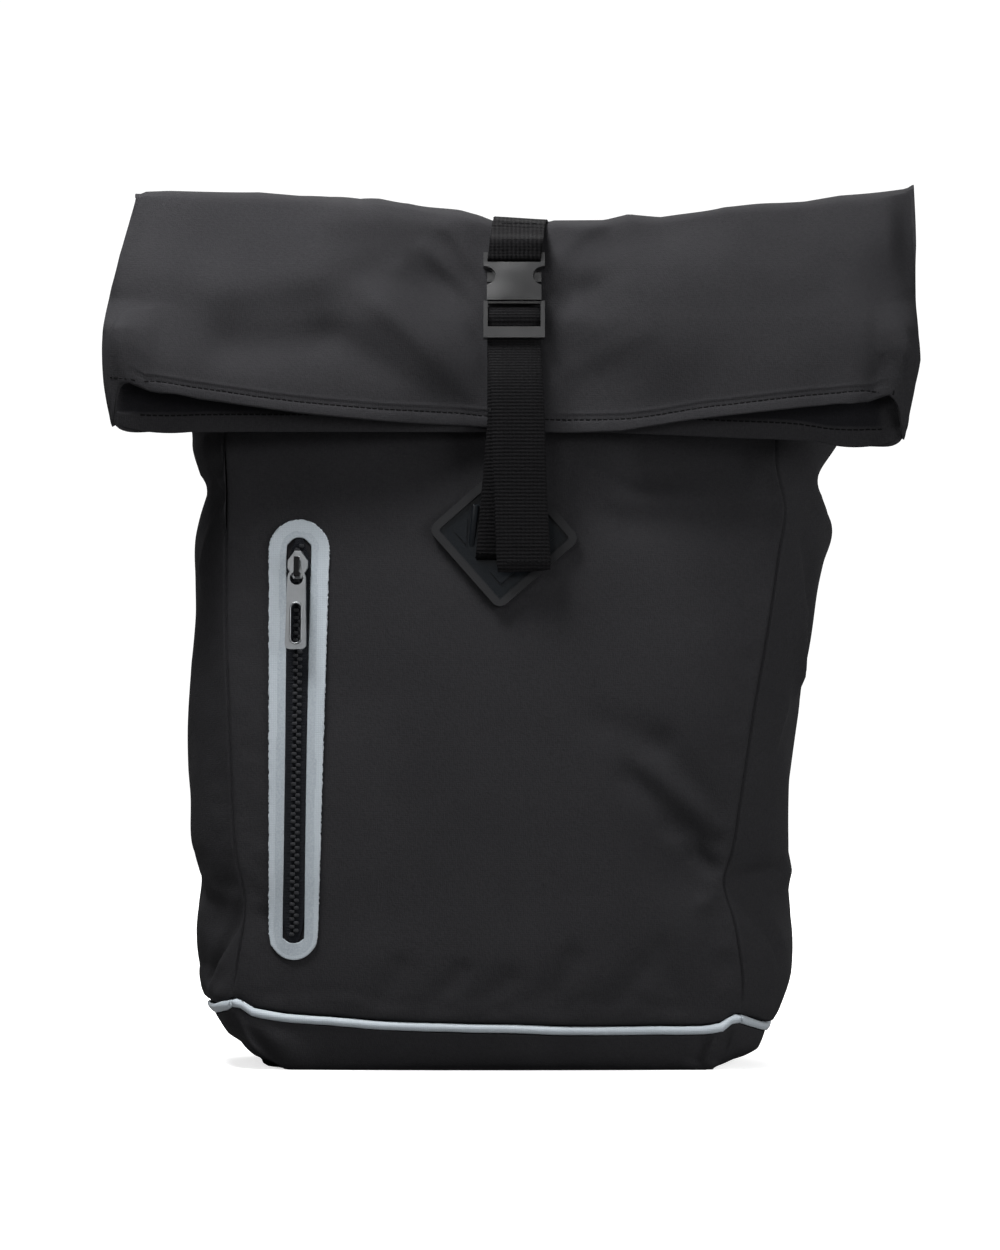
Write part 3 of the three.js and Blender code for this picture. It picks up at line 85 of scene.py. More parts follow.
# One output of a material's nodes. Arithmetic on it adds Math nodes, and node() adds any other node.
class Strand:
    def __init__(self, tree, socket):
        self.tree = tree
        self.socket = socket

    def node(self, kind, settings=None, inputs=None, output=0):
        made = self.tree.nodes.new(kind)
        for name, value in (settings or {}).items():
            setattr(made, name, value)
        for name, value in (inputs or {}).items():
            if isinstance(value, Strand):
                self.tree.links.new(value.socket, made.inputs[name])
            else:
                made.inputs[name].default_value = value
        return Strand(self.tree, made.outputs[output])

    def math(self, operation, first, second=0.0):
        return self.node("ShaderNodeMath", {"operation": operation}, {0: first, 1: second})

    def __add__(self, other):
        return self.math("ADD", self, other)

    def __radd__(self, other):
        return self.math("ADD", other, self)

    def __sub__(self, other):
        return self.math("SUBTRACT", self, other)

    def __rsub__(self, other):
        return self.math("SUBTRACT", other, self)

    def __mul__(self, other):
        return self.math("MULTIPLY", self, other)

    def __rmul__(self, other):
        return self.math("MULTIPLY", other, self)

    def wave(self, pitch):
        return self.math("SINE", self * (2 * math.pi / pitch)) * 0.5 + 0.5

    def between(self, low, high):
        limits = {"Value": self, "From Min": low, "From Max": high}
        return self.node("ShaderNodeMapRange", {"interpolation_type": "SMOOTHSTEP"}, limits)

    def grain(self, size, detail=2.0):
        pattern = {"Vector": self, "Scale": 1 / size, "Detail": detail}
        return self.node("ShaderNodeTexNoise", None, pattern, "Fac")

    def stretch(self, scale):
        return self.node("ShaderNodeMapping", None, {"Vector": self, "Scale": scale})

    def axes(self):
        return [self.node("ShaderNodeSeparateXYZ", None, {"Vector": self}, axis) for axis in "XYZ"]

    def blend(self, dark, light):
        ends = [end if isinstance(end, Strand) else (*end, 1) for end in (dark, light)]
        return self.node("ShaderNodeMix", {"data_type": "RGBA"}, {0: self, 6: ends[0], 7: ends[1]}, 2)


# A new material with its fixed shader values, and the place on the piece that its pattern reads.
def new_finish(name, **fixed):
    finish = bpy.data.materials.new(name)
    finish.use_nodes = True
    shader = finish.node_tree.nodes["Principled BSDF"]
    for socket, value in fixed.items():
        shader.inputs[socket.replace("_", " ")].default_value = value
    spot = finish.node_tree.nodes.new("ShaderNodeTexCoord")
    return finish, Strand(finish.node_tree, spot.outputs["Object"])


# Ties what varies over the surface to the shader: its colour, its roughness and the height of its relief.
def weave_in(finish, colour, roughness, height, depth):
    shader = finish.node_tree.nodes["Principled BSDF"]
    links = finish.node_tree.links
    links.new(colour.socket, shader.inputs["Base Color"])
    links.new(roughness.socket, shader.inputs["Roughness"])
    bump = {"Height": height, "Distance": depth, "Strength": 1.0}
    relief = height.node("ShaderNodeBump", None, bump, "Normal")
    links.new(relief.socket, shader.inputs["Normal"])


# The surround is white to look at and pale in reflections. It gives only a little light, and least from the
# left, so that folds keep their shadows.
ray = surround.node_tree.nodes.new("ShaderNodeLightPath")
seen = Strand(surround.node_tree, ray.outputs["Is Camera Ray"])
mirrored = Strand(surround.node_tree, ray.outputs["Is Glossy Ray"])
outward = Strand(surround.node_tree, surround.node_tree.nodes.new("ShaderNodeTexCoord").outputs["Generated"])
to_right = outward.axes()[0].between(-0.7, 0.3)
strength = seen + (mirrored * 0.4 + 0.1) * to_right
surround.node_tree.links.new(strength.socket, surround_light.inputs["Strength"])

# The floor glows white to the camera and is dull to all other rays, so it throws little light up at the bag.
bpy.ops.mesh.primitive_circle_add(vertices=96, radius=1.6, fill_type="NGON")
floor = bpy.context.object
floor.name = "studio_floor"
floor_paint, floor_spot = new_finish("pale_floor", Specular_IOR_Level=0.1)
floor_tone = floor_spot.grain(0.6)
floor_white = floor_tone.blend((0.80, 0.80, 0.80), (0.82, 0.82, 0.82))
floor_ray = floor_paint.node_tree.nodes.new("ShaderNodeLightPath")
floor_seen = Strand(floor_paint.node_tree, floor_ray.outputs["Is Camera Ray"])
floor_colour = floor_seen.blend((0.22, 0.22, 0.22), floor_white)
weave_in(floor_paint, floor_colour, floor_tone * 0.1 + 0.8, floor_tone, 0.0)
floor_glow = floor_seen.blend((0, 0, 0), (0.75, 0.75, 0.75))
floor_shader = floor_paint.node_tree.nodes["Principled BSDF"]
floor_paint.node_tree.links.new(floor_glow.socket, floor_shader.inputs["Emission Color"])
floor_shader.inputs["Emission Strength"].default_value = 1.0
floor.data.materials.append(floor_paint)

# Body: four panels of black softshell, sewn edge to edge, with soft folds where the empty bag sinks in.
# The cloth is a fine twill bonded to fleece, dull, with a faint cool tint and puckers beside the seams.
def weave_softshell(name, lined_and_shaded):
    finish, spot = new_finish(name, Specular_IOR_Level=0.05)
    x, y, z = spot.axes()
    around = spot.math("ABSOLUTE", x) + y
    thread_size, thread_pitch = 0.6 * mm, 0.97 * mm
    warp = spot.stretch((1, 1, 0.35)).grain(thread_size, 1.0)
    weft = spot.stretch((0.35, 0.35, 1)).grain(thread_size, 1.0)
    grid = around.wave(thread_pitch) * z.wave(thread_pitch)
    threads = warp.between(0.2, 0.8) * 0.45 + weft.between(0.2, 0.8) * 0.35 + grid * 0.2
    mottle = spot.grain(45 * mm, 3.0)
    lint = spot.grain(2.2 * mm, 2.0)
    tone = mottle * 0.35 + threads * 0.5 + lint * 0.15
    colour = tone.blend((0.0118, 0.0116, 0.0130), (0.0305, 0.0302, 0.0324))
    # Inside the mouth the colour turns to the fleece side: its own dark nap, darkened further as painted
    # shade of the hollow.
    if lined_and_shaded:
        fleece_and_mouth_shade = spot.node("ShaderNodeAttribute", {"attribute_name": "fleece_and_mouth_shade"}, None, "Fac")
        shaded_nap = spot.grain(1.2 * mm, 3.0).blend((0.006, 0.006, 0.0072), (0.013, 0.013, 0.015))
        colour = fleece_and_mouth_shade.blend(colour, shaded_nap)
    weave_in(finish, colour, mottle * 0.12 + 0.76, threads * 0.9 + lint * 0.3, 0.00016)
    return finish


softshell = weave_softshell("softshell", False)


# A copy of a CAD solid as a mesh of its own, with its loose triangles joined up.
def copy_solid(node, name):
    bpy.ops.object.select_all(action="DESELECT")
    piece = bpy.data.objects.new(name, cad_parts[node].data.copy())
    bpy.context.scene.collection.objects.link(piece)
    piece.data.materials.clear()
    bpy.context.view_layer.objects.active = piece
    piece.select_set(True)
    bpy.ops.mesh.customdata_custom_splitnormals_clear()
    bpy.ops.object.mode_set(mode="EDIT")
    bpy.ops.mesh.select_all(action="SELECT")
    bpy.ops.mesh.remove_doubles(threshold=0.01 * mm)
    bpy.ops.object.mode_set(mode="OBJECT")
    return piece


def points_of(piece):
    flat = np.empty(len(piece.data.vertices) * 3)
    piece.data.vertices.foreach_get("co", flat)
    return flat.reshape(-1, 3)


def set_points(piece, points):
    piece.data.vertices.foreach_set("co", points.ravel())
    piece.data.update()


def apply_all(piece):
    bpy.context.view_layer.objects.active = piece
    for modifier in list(piece.modifiers):
        bpy.ops.object.modifier_apply(modifier=modifier.name)


# Cloth cut from a CAD wall: four-sided faces, smoothed through the wall's own points. Its cut edges are kept
# and named in a vertex group.
def cut_cloth(node, name, levels, edge_crease=0.55, sharp=60):
    cloth = copy_solid(node, name)
    rim = cloth.vertex_groups.new(name="rim")
    bpy.ops.object.mode_set(mode="EDIT")
    bpy.ops.mesh.select_mode(type="EDGE")
    bpy.ops.mesh.select_all(action="SELECT")
    bpy.ops.mesh.tris_convert_to_quads(face_threshold=1.2, shape_threshold=1.2)
    bpy.ops.mesh.select_all(action="DESELECT")
    bpy.ops.mesh.edges_select_sharp(sharpness=math.radians(sharp))
    bpy.ops.transform.edge_crease(value=edge_crease)
    cloth.vertex_groups.active_index = rim.index
    bpy.ops.object.vertex_group_assign()
    bpy.ops.object.mode_set(mode="OBJECT")
    smoothing = cloth.modifiers.new("smoothing", "SUBSURF")
    smoothing.levels = smoothing.render_levels = levels
    wanted = points_of(cloth)
    for fitting in range(5):
        smoothed = cloth.evaluated_get(bpy.context.evaluated_depsgraph_get())
        set_points(cloth, points_of(cloth) + wanted - points_of(smoothed)[: len(wanted)])
    apply_all(cloth)
    bpy.ops.object.shade_smooth()
    return cloth


def rim_share(cloth):
    share = np.zeros(len(cloth.data.vertices))
    for vertex in cloth.data.vertices:
        for group in vertex.groups:
            share[vertex.index] = group.weight
    return share


# Heights of soft folds over a panel. Each runs along a line of two places, in millimetres across and up.
def fold_heights(across, up, folds):
    heights = np.zeros_like(across)
    for (start, end, width, height) in folds:
        run = np.array([end[0] - start[0], end[1] - start[1]]) * mm
        along = (across - start[0] * mm) * run[0] + (up - start[1] * mm) * run[1]
        share = np.clip(along / (run @ run), 0, 1)
        off = np.hypot(across - start[0] * mm - share * run[0], up - start[1] * mm - share * run[1])
        heights += height * mm * np.exp(-(off / (width * mm)) ** 2)
    return heights


def ripple(points, size, seed):
    return np.array([noise.noise(Vector(point) / size + Vector((seed, 2.3 * seed, 0))) for point in points])


# 0 up to the start, 1 beyond the end and even between them. The end may be the lower of the two.
def ramp(value, start, end):
    return np.clip((value - start) / (end - start), 0, 1)


# A point lies on a cut edge where its share of the rim is more than this.
cut_edge = 0.99


# Closer rows of faces beside the cut edges, fine enough for the groove of a seam.
def add_seam_rows(cloth):
    rim = rim_share(cloth)
    bpy.ops.object.mode_set(mode="EDIT")
    bpy.ops.mesh.select_mode(type="EDGE")
    bpy.ops.mesh.select_all(action="DESELECT")
    bpy.ops.object.mode_set(mode="OBJECT")
    for edge in cloth.data.edges:
        a, b = edge.vertices
        edge.select = bool(max(rim[a], rim[b]) > cut_edge and min(rim[a], rim[b]) < 0.97)
    bpy.ops.object.mode_set(mode="EDIT")
    bpy.ops.mesh.subdivide(number_cuts=3)
    bpy.ops.object.mode_set(mode="OBJECT")


# Moves a cloth wall bodily one way by its folds, a slow ripple and the puckers beside its seams. Its cut
# edges turn in towards the bag, which leaves the groove of a seam between two panels.
def fold_cloth(cloth, way, across_axis, folds, slack, pucker, seed, seam=2.0):
    add_seam_rows(cloth)
    points = points_of(cloth)
    rim = rim_share(cloth)
    heights = fold_heights(points[:, across_axis], points[:, 2], folds)
    heights += slack * mm * (ripple(points, 70 * mm, seed) + 0.3 * ripple(points, 24 * mm, seed + 5))
    near_seam = np.clip(1.8 * rim, 0, 1) * np.clip(2.2 * (1 - rim), 0, 1)
    puckers = near_seam * ripple(points * (1, 1, 1.6), 13 * mm, seed + 9)
    heights = heights * (1 - rim) + pucker * mm * puckers
    groove = seam * mm * rim ** 24
    inward = np.sign(points) * (-0.55, -0.85, 0)
    set_points(cloth, points + heights[:, None] * np.array(way) + groove[:, None] * inward)


# How far the sides of the empty bag stand out, in millimetres at each height, where the cloth buckles. The
# swell starts 95 mm from the middle of the bag and is full at 134 mm.
swell_start_square = 9000
side_heights = [0, 6, 16, 26, 36, 48, 72, 86, 96, 106, 146, 170, 196, 246, 276, 286, 296, 308, 316]
side_swell = {
    -1: [-2.0, 3.2, 4.1, 3.8, 4.5, 1.0, 1.5, 4.0, 5.5, 3.0, 2.5, 1.2, -0.8, 0.5, 3.0, 3.5, 6.0, 3.5, 1.0],
    1: [4.5, 5.5, 1.2, -2.8, 0.5, 2.5, 1.2, 2.2, 4.5, 2.4, 2.2, 1.2, 0.4, 1.2, 0.5, 4.0, 4.5, 3.5, 3.0],
}


def swell_sides(piece):
    points = points_of(piece)
    x, y, z = points.T / mm
    off_seam = ramp(y, -56, -42) * np.clip(x ** 2 / swell_start_square - 1, 0, 1)
    off_seam *= 1 - rim_share(piece) * ramp(z, 40, 70)
    for side, swell in side_swell.items():
        out = np.interp(z, side_heights, swell) * mm * off_seam
        points[:, 0] += side * out * (np.sign(x) == side)
    set_points(piece, points)


# The seam between body and base: how far it hangs below its even line, in millimetres from left to right.
seam_places = [
    -148, -142, -136, -130, -127, -123, -115, -106, -100, -85, -70,
    -40, 5, 35, 80, 95, 103, 111, 116, 127, 136, 142,
]
seam_drop = [
    -4, -1.5, 0, -1.8, 0, 1.4, 0.6, -0.2, -0.8, -2.0, -2.2,
    -1.8, -1.0, 0, 0.2, 0.8, 2.0, 3.2, 1.0, 5.0, 9.0, 11.0,
]


def drop_seam(piece):
    points = points_of(piece)
    x, y, z = points.T / mm
    near = ramp(z, 0, 14) * ramp(z, 70, 32) * ramp(y, 30, -10)
    points[:, 2] -= np.interp(x, seam_places, seam_drop) * near * mm
    set_points(piece, points)


def finish_piece(piece, finish, body="pack", stands_for=()):
    piece.data.materials.append(finish)
    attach(piece, body)
    if stands_for:
        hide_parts(*stands_for)


front_folds = [
    ((72, 300), (132, 308), 12, -7.5),
    ((62, 285), (126, 283), 9, 3.0),
    ((50, 174), (78, 164), 9, -1.5),
    ((66, 147), (90, 123), 7, -2.2),
    ((86, 123), (105, 116), 6, -2.4),
    ((72, 152), (106, 124), 6, 1.8),
    ((80, 163), (108, 129), 7, -1.5),
    ((97, 113), (106, 102), 5, -2.4),
    ((111, 97), (98, 108), 4, -3.0),
    ((111, 95), (102, 84), 5, 2.0),
    ((-128, 84), (-114, 76), 5, -1.4),
    ((60, 255), (20, 120), 40, -1.6),
    ((-60, 180), (-20, 70), 34, -1.4),
    ((96, 200), (60, 60), 30, 1.2),
    ((-60, 30), (-50, 52), 6, -1.3),
    ((-36, 26), (-20, 50), 5, -1.3),
    ((-8, 28), (4, 46), 6, -1.2),
    ((20, 28), (36, 56), 7, -1.5),
    ((52, 28), (70, 52), 6, -1.5),
    ((90, 28), (80, 60), 7, -1.3),
]
front_panel = cut_cloth("front_panel", "front_panel_cloth", 3)
fold_cloth(front_panel, (0, -1, 0), 0, front_folds, 0.5, 0.9, 1)
swell_sides(front_panel)
drop_seam(front_panel)
finish_piece(front_panel, softshell, stands_for=["front_panel"])

right_folds = [
    ((-20, 294), (20, 262), 9, 2.2),
    ((-52, 96), (-16, 98), 5, -3.4),
    ((-50, 92), (-26, 60), 4.5, -3.2),
    ((-30, 226), (-46, 196), 6, 2.6),
    ((-46, 268), (-10, 196), 7, 2.8),
    ((-30, 262), (6, 190), 7, -3.0),
    ((-30, 180), (-48, 140), 6, 2.2),
    ((-40, 60), (0, 76), 12, 1.6),
    ((-10, 170), (20, 120), 16, -1.8),
]
gusset_right = cut_cloth("gusset_right", "gusset_right_cloth", 3)
fold_cloth(gusset_right, (1, 0, 0), 1, right_folds, 0.9, 1.0, 2)
swell_sides(gusset_right)
drop_seam(gusset_right)
finish_piece(gusset_right, softshell, stands_for=["gusset_right"])

left_folds = [
    ((-36, 300), (20, 286), 9, -1.8),
    ((-44, 250), (0, 200), 12, 1.4),
    ((-40, 90), (10, 84), 8, -2.0),
    ((-52, 86), (-18, 90), 6, 3.0),
    ((-52, 82), (-22, 40), 4.5, -4.5),
    ((-44, 64), (-28, 36), 4, 2.8),
    ((-50, 294), (-20, 268), 7, -2.2),
    ((-50, 282), (-26, 250), 7, 1.8),
    ((-6, 160), (18, 110), 16, -1.6),
]
gusset_left = cut_cloth("gusset_left", "gusset_left_cloth", 3)
fold_cloth(gusset_left, (-1, 0, 0), 1, left_folds, 0.9, 1.0, 3)
swell_sides(gusset_left)
drop_seam(gusset_left)
finish_piece(gusset_left, softshell, stands_for=["gusset_left"])

back_folds = [
    ((-90, 60), (-40, 74), 14, -1.2),
    ((90, 60), (40, 76), 14, -1.2),
]
back_panel = cut_cloth("back_panel", "back_panel_cloth", 3)
fold_cloth(back_panel, (0, 1, 0), 0, back_folds, 0.35, 0.7, 4)

# With no piping at the back, the lower edge of the panel reaches down to the base.
points = points_of(back_panel)
to_base = ramp(points[:, 2], 60 * mm, 30 * mm) * ramp(np.abs(points[:, 0]), 128 * mm, 116 * mm)
points[:, 2] -= 4.2 * mm * to_base
set_points(back_panel, points)
finish_piece(back_panel, softshell, stands_for=["back_panel"])

# Base: one piece of the same softshell, drawn up round the bottom edge to the piping.
# It creases from the front corners down to the floor, where the bag's weight folds it under.
base = cut_cloth("base", "base_cloth", 3, edge_crease=0.6, sharp=32)
points = points_of(base)
front_side = ramp(points[:, 1], -30 * mm, -46 * mm)
base_folds = [
    ((-130, 32), (-112, 4), 3.0, -3.2),
    ((-120, 26), (-102, 6), 6, 1.4),
    ((117, 27), (108, 6), 3.0, -3.2),
    ((104, 24), (98, 6), 4, -2.4),
    ((110, 25), (103, 6), 4, 1.4),
    ((30, 20), (26, 4), 9, -0.8),
]
lifted = ramp(points[:, 2], 0, 6 * mm) * np.maximum(ramp(points[:, 2], 24 * mm, 16 * mm), 0.15)
points[:, 1] -= fold_heights(points[:, 0], points[:, 2], base_folds) * front_side * lifted
points[:, 1] += 0.35 * mm * ripple(points, 26 * mm, 6) * lifted
points[:, 2] = np.maximum(points[:, 2], 0)
set_points(base, points)
swell_sides(base)
drop_seam(base)
finish_piece(base, softshell, stands_for=["base"])

# Piping: a thin cord wrapped in silver reflective tape and caught in the seam between body and base.
# The tape is a pale cool grey with a fine grain of beads and slow clouds over it.
reflective, tape_spot = new_finish("reflective_tape", Specular_IOR_Level=0.35, Sheen_Weight=0.1)
tape_x, _, tape_z = tape_spot.axes()
beads = tape_spot.grain(0.9 * mm, 2.0)
clouds = tape_spot.grain(22 * mm, 3.0)
tape_weave = tape_x.wave(0.9 * mm) * tape_z.wave(0.9 * mm)
tape_tone = clouds * 0.5 + beads * 0.3 + tape_weave * 0.2
weave_in(
    reflective,
    tape_tone.blend((0.275, 0.312, 0.345), (0.465, 0.508, 0.545)),
    beads * 0.15 + 0.42,
    beads * 0.7 + tape_weave * 0.5,
    0.00012,
)
piping_seeds = {"piping_front": 11, "piping_right": 12, "piping_left": 13}
for node, seed in piping_seeds.items():
    piping = cut_cloth(node, node + "_tape", 2, edge_crease=0.3)
    points = points_of(piping)
    set_points(piping, points + 0.22 * mm * ripple(points, 18 * mm, seed)[:, None] * np.array((0.3, 0.3, 1)))
    swell_sides(piping)
    drop_seam(piping)
    finish_piece(piping, reflective, stands_for=[node])

# Roll top: the tube of softshell above the body, pressed flat, turned once over the ridge and hung in front.
# The outer sheet shows as the flap. Both sheets end in a hem, sewn with one line of black thread, and show
# the dark fleece side of the cloth inside the mouth, its darkness partly painted shade of the hollow.
hem_band = 6.5 * mm
lining_band = 10 * mm


# How far each point of a hanging sheet lies above the hem under it.
def above_hem(sheet):
    points = points_of(sheet)
    front = (rim_share(sheet) > cut_edge) & (points[:, 1] < -40 * mm) & (points[:, 2] < 380 * mm)
    edge = points[front]
    spots = np.linspace(edge[:, 0].min(), edge[:, 0].max(), 60)
    lowest = [edge[np.abs(edge[:, 0] - spot) < 8 * mm, 2].min() for spot in spots]
    return points[:, 2] - np.interp(points[:, 0], spots, lowest)


def bump_at(distance, middle, width):
    return np.exp(-(((distance - middle) / width) ** 2))


# Closer rows of faces along a hem, fine enough for its sewn band.
def add_hem_rows(sheet, depth):
    over = above_hem(sheet)
    points = points_of(sheet)
    bpy.ops.object.mode_set(mode="EDIT")
    bpy.ops.mesh.select_mode(type="EDGE")
    bpy.ops.mesh.select_all(action="DESELECT")
    bpy.ops.object.mode_set(mode="OBJECT")
    for edge in sheet.data.edges:
        a, b = edge.vertices
        near = max(over[a], over[b]) < depth and max(points[a, 1], points[b, 1]) < -45 * mm
        edge.select = bool(near and abs(points[a, 2] - points[b, 2]) > 1.5 * abs(points[a, 0] - points[b, 0]))
    bpy.ops.object.mode_set(mode="EDIT")
    bpy.ops.mesh.subdivide(number_cuts=3)
    bpy.ops.object.mode_set(mode="OBJECT")


# The roll settles unevenly: its ridge rises and sinks along its length, its ends draw in, its lower corners
# hang and the outer hem dips beside the strap. All in millimetres, from left to right.
ridge_places = [
    -194, -181, -177, -165, -120, -100, -85, -70, -60, -45, -20, -10,
    -2, 8, 20, 27, 52, 64, 80, 112, 140, 152, 170, 200,
]
ridge_rise = [
    -4.5, -3.0, -1.0, -0.4, -1.0, -3.5, -4.0, -3.0, 0.4, 3.6, 3.6, 1.8,
    -1.0, -2.0, -2.2, -0.4, 0, 2.8, 0.6, 3.4, 1.0, 0.6, 2.0, 1.6,
]
hem_places = [
    -192, -185, -178, -170, -150, -125, -100, -50, -25, -15, 8, 22,
    36, 50, 60, 70, 90, 100, 160, 176, 188, 196, 202,
]
hem_drop = [
    -14, -12, -7.4, -4.2, 0.3, 1.4, 2.5, 2.1, 1.5, 1.5, 3.0, 4.4,
    5.3, 5.8, 6.3, 5.6, 4.3, 4.1, 3.5, 1.7, -2.4, -6.8, -4,
]
sharp_depth = 20


def settle_roll(sheet, outer):
    points = points_of(sheet)
    x, y, z = points.T / mm
    if outer:
        levels = np.arange(320, 440, 8)
        rows = [np.abs(z - level) < 8 for level in levels]
        for side in (-1, 1):
            ends = np.interp(z, levels, [(side * x[row]).max() for row in rows])
            share = ramp(ends - side * x, sharp_depth, 0)
            sharp_end = ramp(y, -30, -50) * ramp(z, 430, 390)
            x = x + side * sharp_depth * (share ** 0.45 - share) * sharp_end
        points[:, 0] = x * mm
    rise = np.interp(x, ridge_places, ridge_rise) * ramp(z, 380, 415)
    hangs = np.interp(x, [-192, -154, 158, 202], [5.5, 0, 0, 12])
    low = ramp(z, 362, 322) * (y < -35)
    from_middle = np.abs(x - 5)
    if outer:
        turned = ramp(y, -84, -69) ** 7 * ramp(from_middle, 140, 160)
        drop = np.interp(x, hem_places, hem_drop) * ramp(z, 400, 350) * (y < -50) * (1 - turned)
        points[:, 2] -= (hangs * low * turned + drop) * mm
    else:
        points[:, 2] -= hangs * low * mm
    left_end = np.interp(z, [300, 330, 356, 380, 410], [3.0, 3.4, 2.6, 1.6, 0])
    right_heights = [300, 316, 326, 346, 356, 366, 380, 410]
    right_end = np.interp(z, right_heights, [3.0, 3.6, 4.6, 3.4, 1.6, 2.4, 2.2, 0.5])
    points[:, 0] -= np.where(x < 0, -left_end, right_end) * ramp(from_middle, 120, 200) * mm
    points[:, 2] += rise * mm
    set_points(sheet, points)


lined_shaded_softshell = weave_softshell("lined_shaded_softshell", True)


hem_fade, side_fade = 0.8 * mm, 3 * mm


# Marks the fleece side, with painted shade of the mouth: on the face that looks one way, above its hem.
def line_and_shade_inside(sheet, facing, band, left_end, right_end):
    points = points_of(sheet)
    normals = np.empty(points.size)
    sheet.data.vertices.foreach_get("normal", normals)
    share = ramp(normals.reshape(-1, 3)[:, 1] * facing, 0.1, 0.4)
    share *= ramp(above_hem(sheet), band, band + hem_fade)
    share *= ramp(points[:, 0], left_end, left_end + side_fade)
    share *= ramp(points[:, 0], right_end, right_end - side_fade)
    share *= (points[:, 1] < -40 * mm) & (points[:, 2] < 380 * mm)
    marks = sheet.data.attributes.new("fleece_and_mouth_shade", "FLOAT", "POINT")
    marks.data.foreach_set("value", share)


inner_sheet = cut_cloth("roll_top_front", "roll_top_inner_cloth", 3, edge_crease=0.5)
add_hem_rows(inner_sheet, 14 * mm)
settle_roll(inner_sheet, False)
points = points_of(inner_sheet)
hanging = ramp(points[:, 1], -34 * mm, -48 * mm)
heights = 0.5 * mm * ripple(points, 40 * mm, 21)
heights += 0.8 * mm * ramp(above_hem(inner_sheet), lining_band, lining_band - hem_fade)
set_points(inner_sheet, points + (heights * hanging)[:, None] * np.array((0, -1, 0)))
finish_piece(inner_sheet, lined_shaded_softshell, stands_for=["roll_top_front"])
line_and_shade_inside(inner_sheet, -1, lining_band, -190 * mm, 190 * mm)

flap_folds = [
    ((-190, 398), (-140, 394), 16, 4.4),
    ((-138, 387), (-94, 394), 12, 3.6),
    ((-134, 360), (-92, 363), 11, -3.2),
    ((-80, 426), (-14, 423), 9, 3.8),
    ((-62, 398), (-12, 388), 11, -4.2),
    ((-58, 380), (-8, 346), 8, 2.0),
    ((-82, 366), (-28, 334), 9, -2.2),
    ((-27, 420), (-6, 397), 4, 1.6),
    ((-37, 410), (-6, 378), 4, 1.6),
    ((-50, 399), (-7, 352), 5, 1.7),
    ((-68, 390), (-16, 338), 5, 1.0),
    ((22, 426), (46, 425), 8, 3.2),
    ((24, 388), (46, 384), 10, -3.4),
    ((24, 369), (64, 393), 5, 0.9),
    ((24, 400), (48, 425), 5, 1.6),
    ((26, 345), (72, 368), 6, 0.8),
    ((44, 400), (88, 408), 9, 2.8),
    ((54, 419), (58, 411), 3.5, -1.4),
    ((112, 418), (140, 404), 9, -1.2),
    ((150, 424), (166, 402), 7, -1.4),
    ((70, 364), (192, 416), 22, 5.2),
    ((90, 332), (196, 352), 20, -5.0),
]
flap = cut_cloth("roll_top_back", "roll_top_outer_cloth", 3, edge_crease=0.5)
add_hem_rows(flap, 14 * mm)
settle_roll(flap, True)
points = points_of(flap)
x, y, z = points.T / mm
hanging = ramp(y, -34, -44)
off_strap = ramp(np.abs(x - 8), 15, 25)
off_ends = ramp(np.abs(x - 2), 200, 192)
heights = fold_heights(points[:, 0], points[:, 2], flap_folds) * off_strap * off_ends
heights += (0.5 * mm * ripple(points, 60 * mm, 22) + 0.2 * mm * ripple(points, 20 * mm, 23)) * off_strap
over = above_hem(flap)

# The hem tucks in, the lower corners of the flap stand forward, and the sewing draws a groove along the band.
tucked = ramp(z, 374, 334) * ramp(x, -176, -146)
heights -= 3 * mm * tucked * off_strap
flat_left = ramp(x, -168, -194) ** 1.15
flat_right = ramp(x, 186, 204)
heights += (15 * flat_left + 6 * flat_right) * mm * ramp(z, 384, 370)
heights += 0.2 * mm * bump_at(over, 3 * mm, 2.6 * mm)
heights -= 0.35 * mm * bump_at(over, hem_band, 0.8 * mm)
heights -= 0.2 * mm * bump_at(over, hem_band + 1.6 * mm, 0.8 * mm)
heights += 0.25 * mm * bump_at(over, hem_band + 3.2 * mm, 0.9 * mm)
set_points(flap, points + (heights * hanging)[:, None] * np.array((0, -1, 0.05)))
finish_piece(flap, lined_shaded_softshell, stands_for=["roll_top_back"])
line_and_shade_inside(flap, 1, hem_band, -190 * mm, 194 * mm)

thread, thread_spot = new_finish("black_thread", Specular_IOR_Level=0.08)
strands = thread_spot.grain(0.35 * mm, 2.0)
thread_black = strands.blend((0.0008, 0.0008, 0.001), (0.003, 0.003, 0.0035))
weave_in(thread, thread_black, strands * 0.15 + 0.75, strands, 0.00005)
stitch_size = Vector((2.3, 0.7, 0.75)) * mm
stitch_pitch = 3.0 * mm
stitch_sink = 0.15 * mm
far_off = 0.4


# A small block with rounded edges, in the middle of the frame.
def rounded_block(size, rounding, segments):
    bpy.ops.object.select_all(action="DESELECT")
    bpy.ops.mesh.primitive_cube_add(size=1)
    bpy.ops.object.mode_set(mode="EDIT")
    bpy.ops.transform.resize(value=size)
    bpy.ops.mesh.bevel(offset=rounding, segments=segments, affect="EDGES")
    bpy.ops.object.mode_set(mode="OBJECT")
    return bpy.context.object


stitch = rounded_block(stitch_size, 0.18 * mm, 1)


def join_pieces(pieces, name):
    bpy.ops.object.select_all(action="DESELECT")
    for piece in pieces:
        piece.select_set(True)
    bpy.context.view_layer.objects.active = pieces[0]
    bpy.ops.object.join()
    pieces[0].name = name
    return pieces[0]


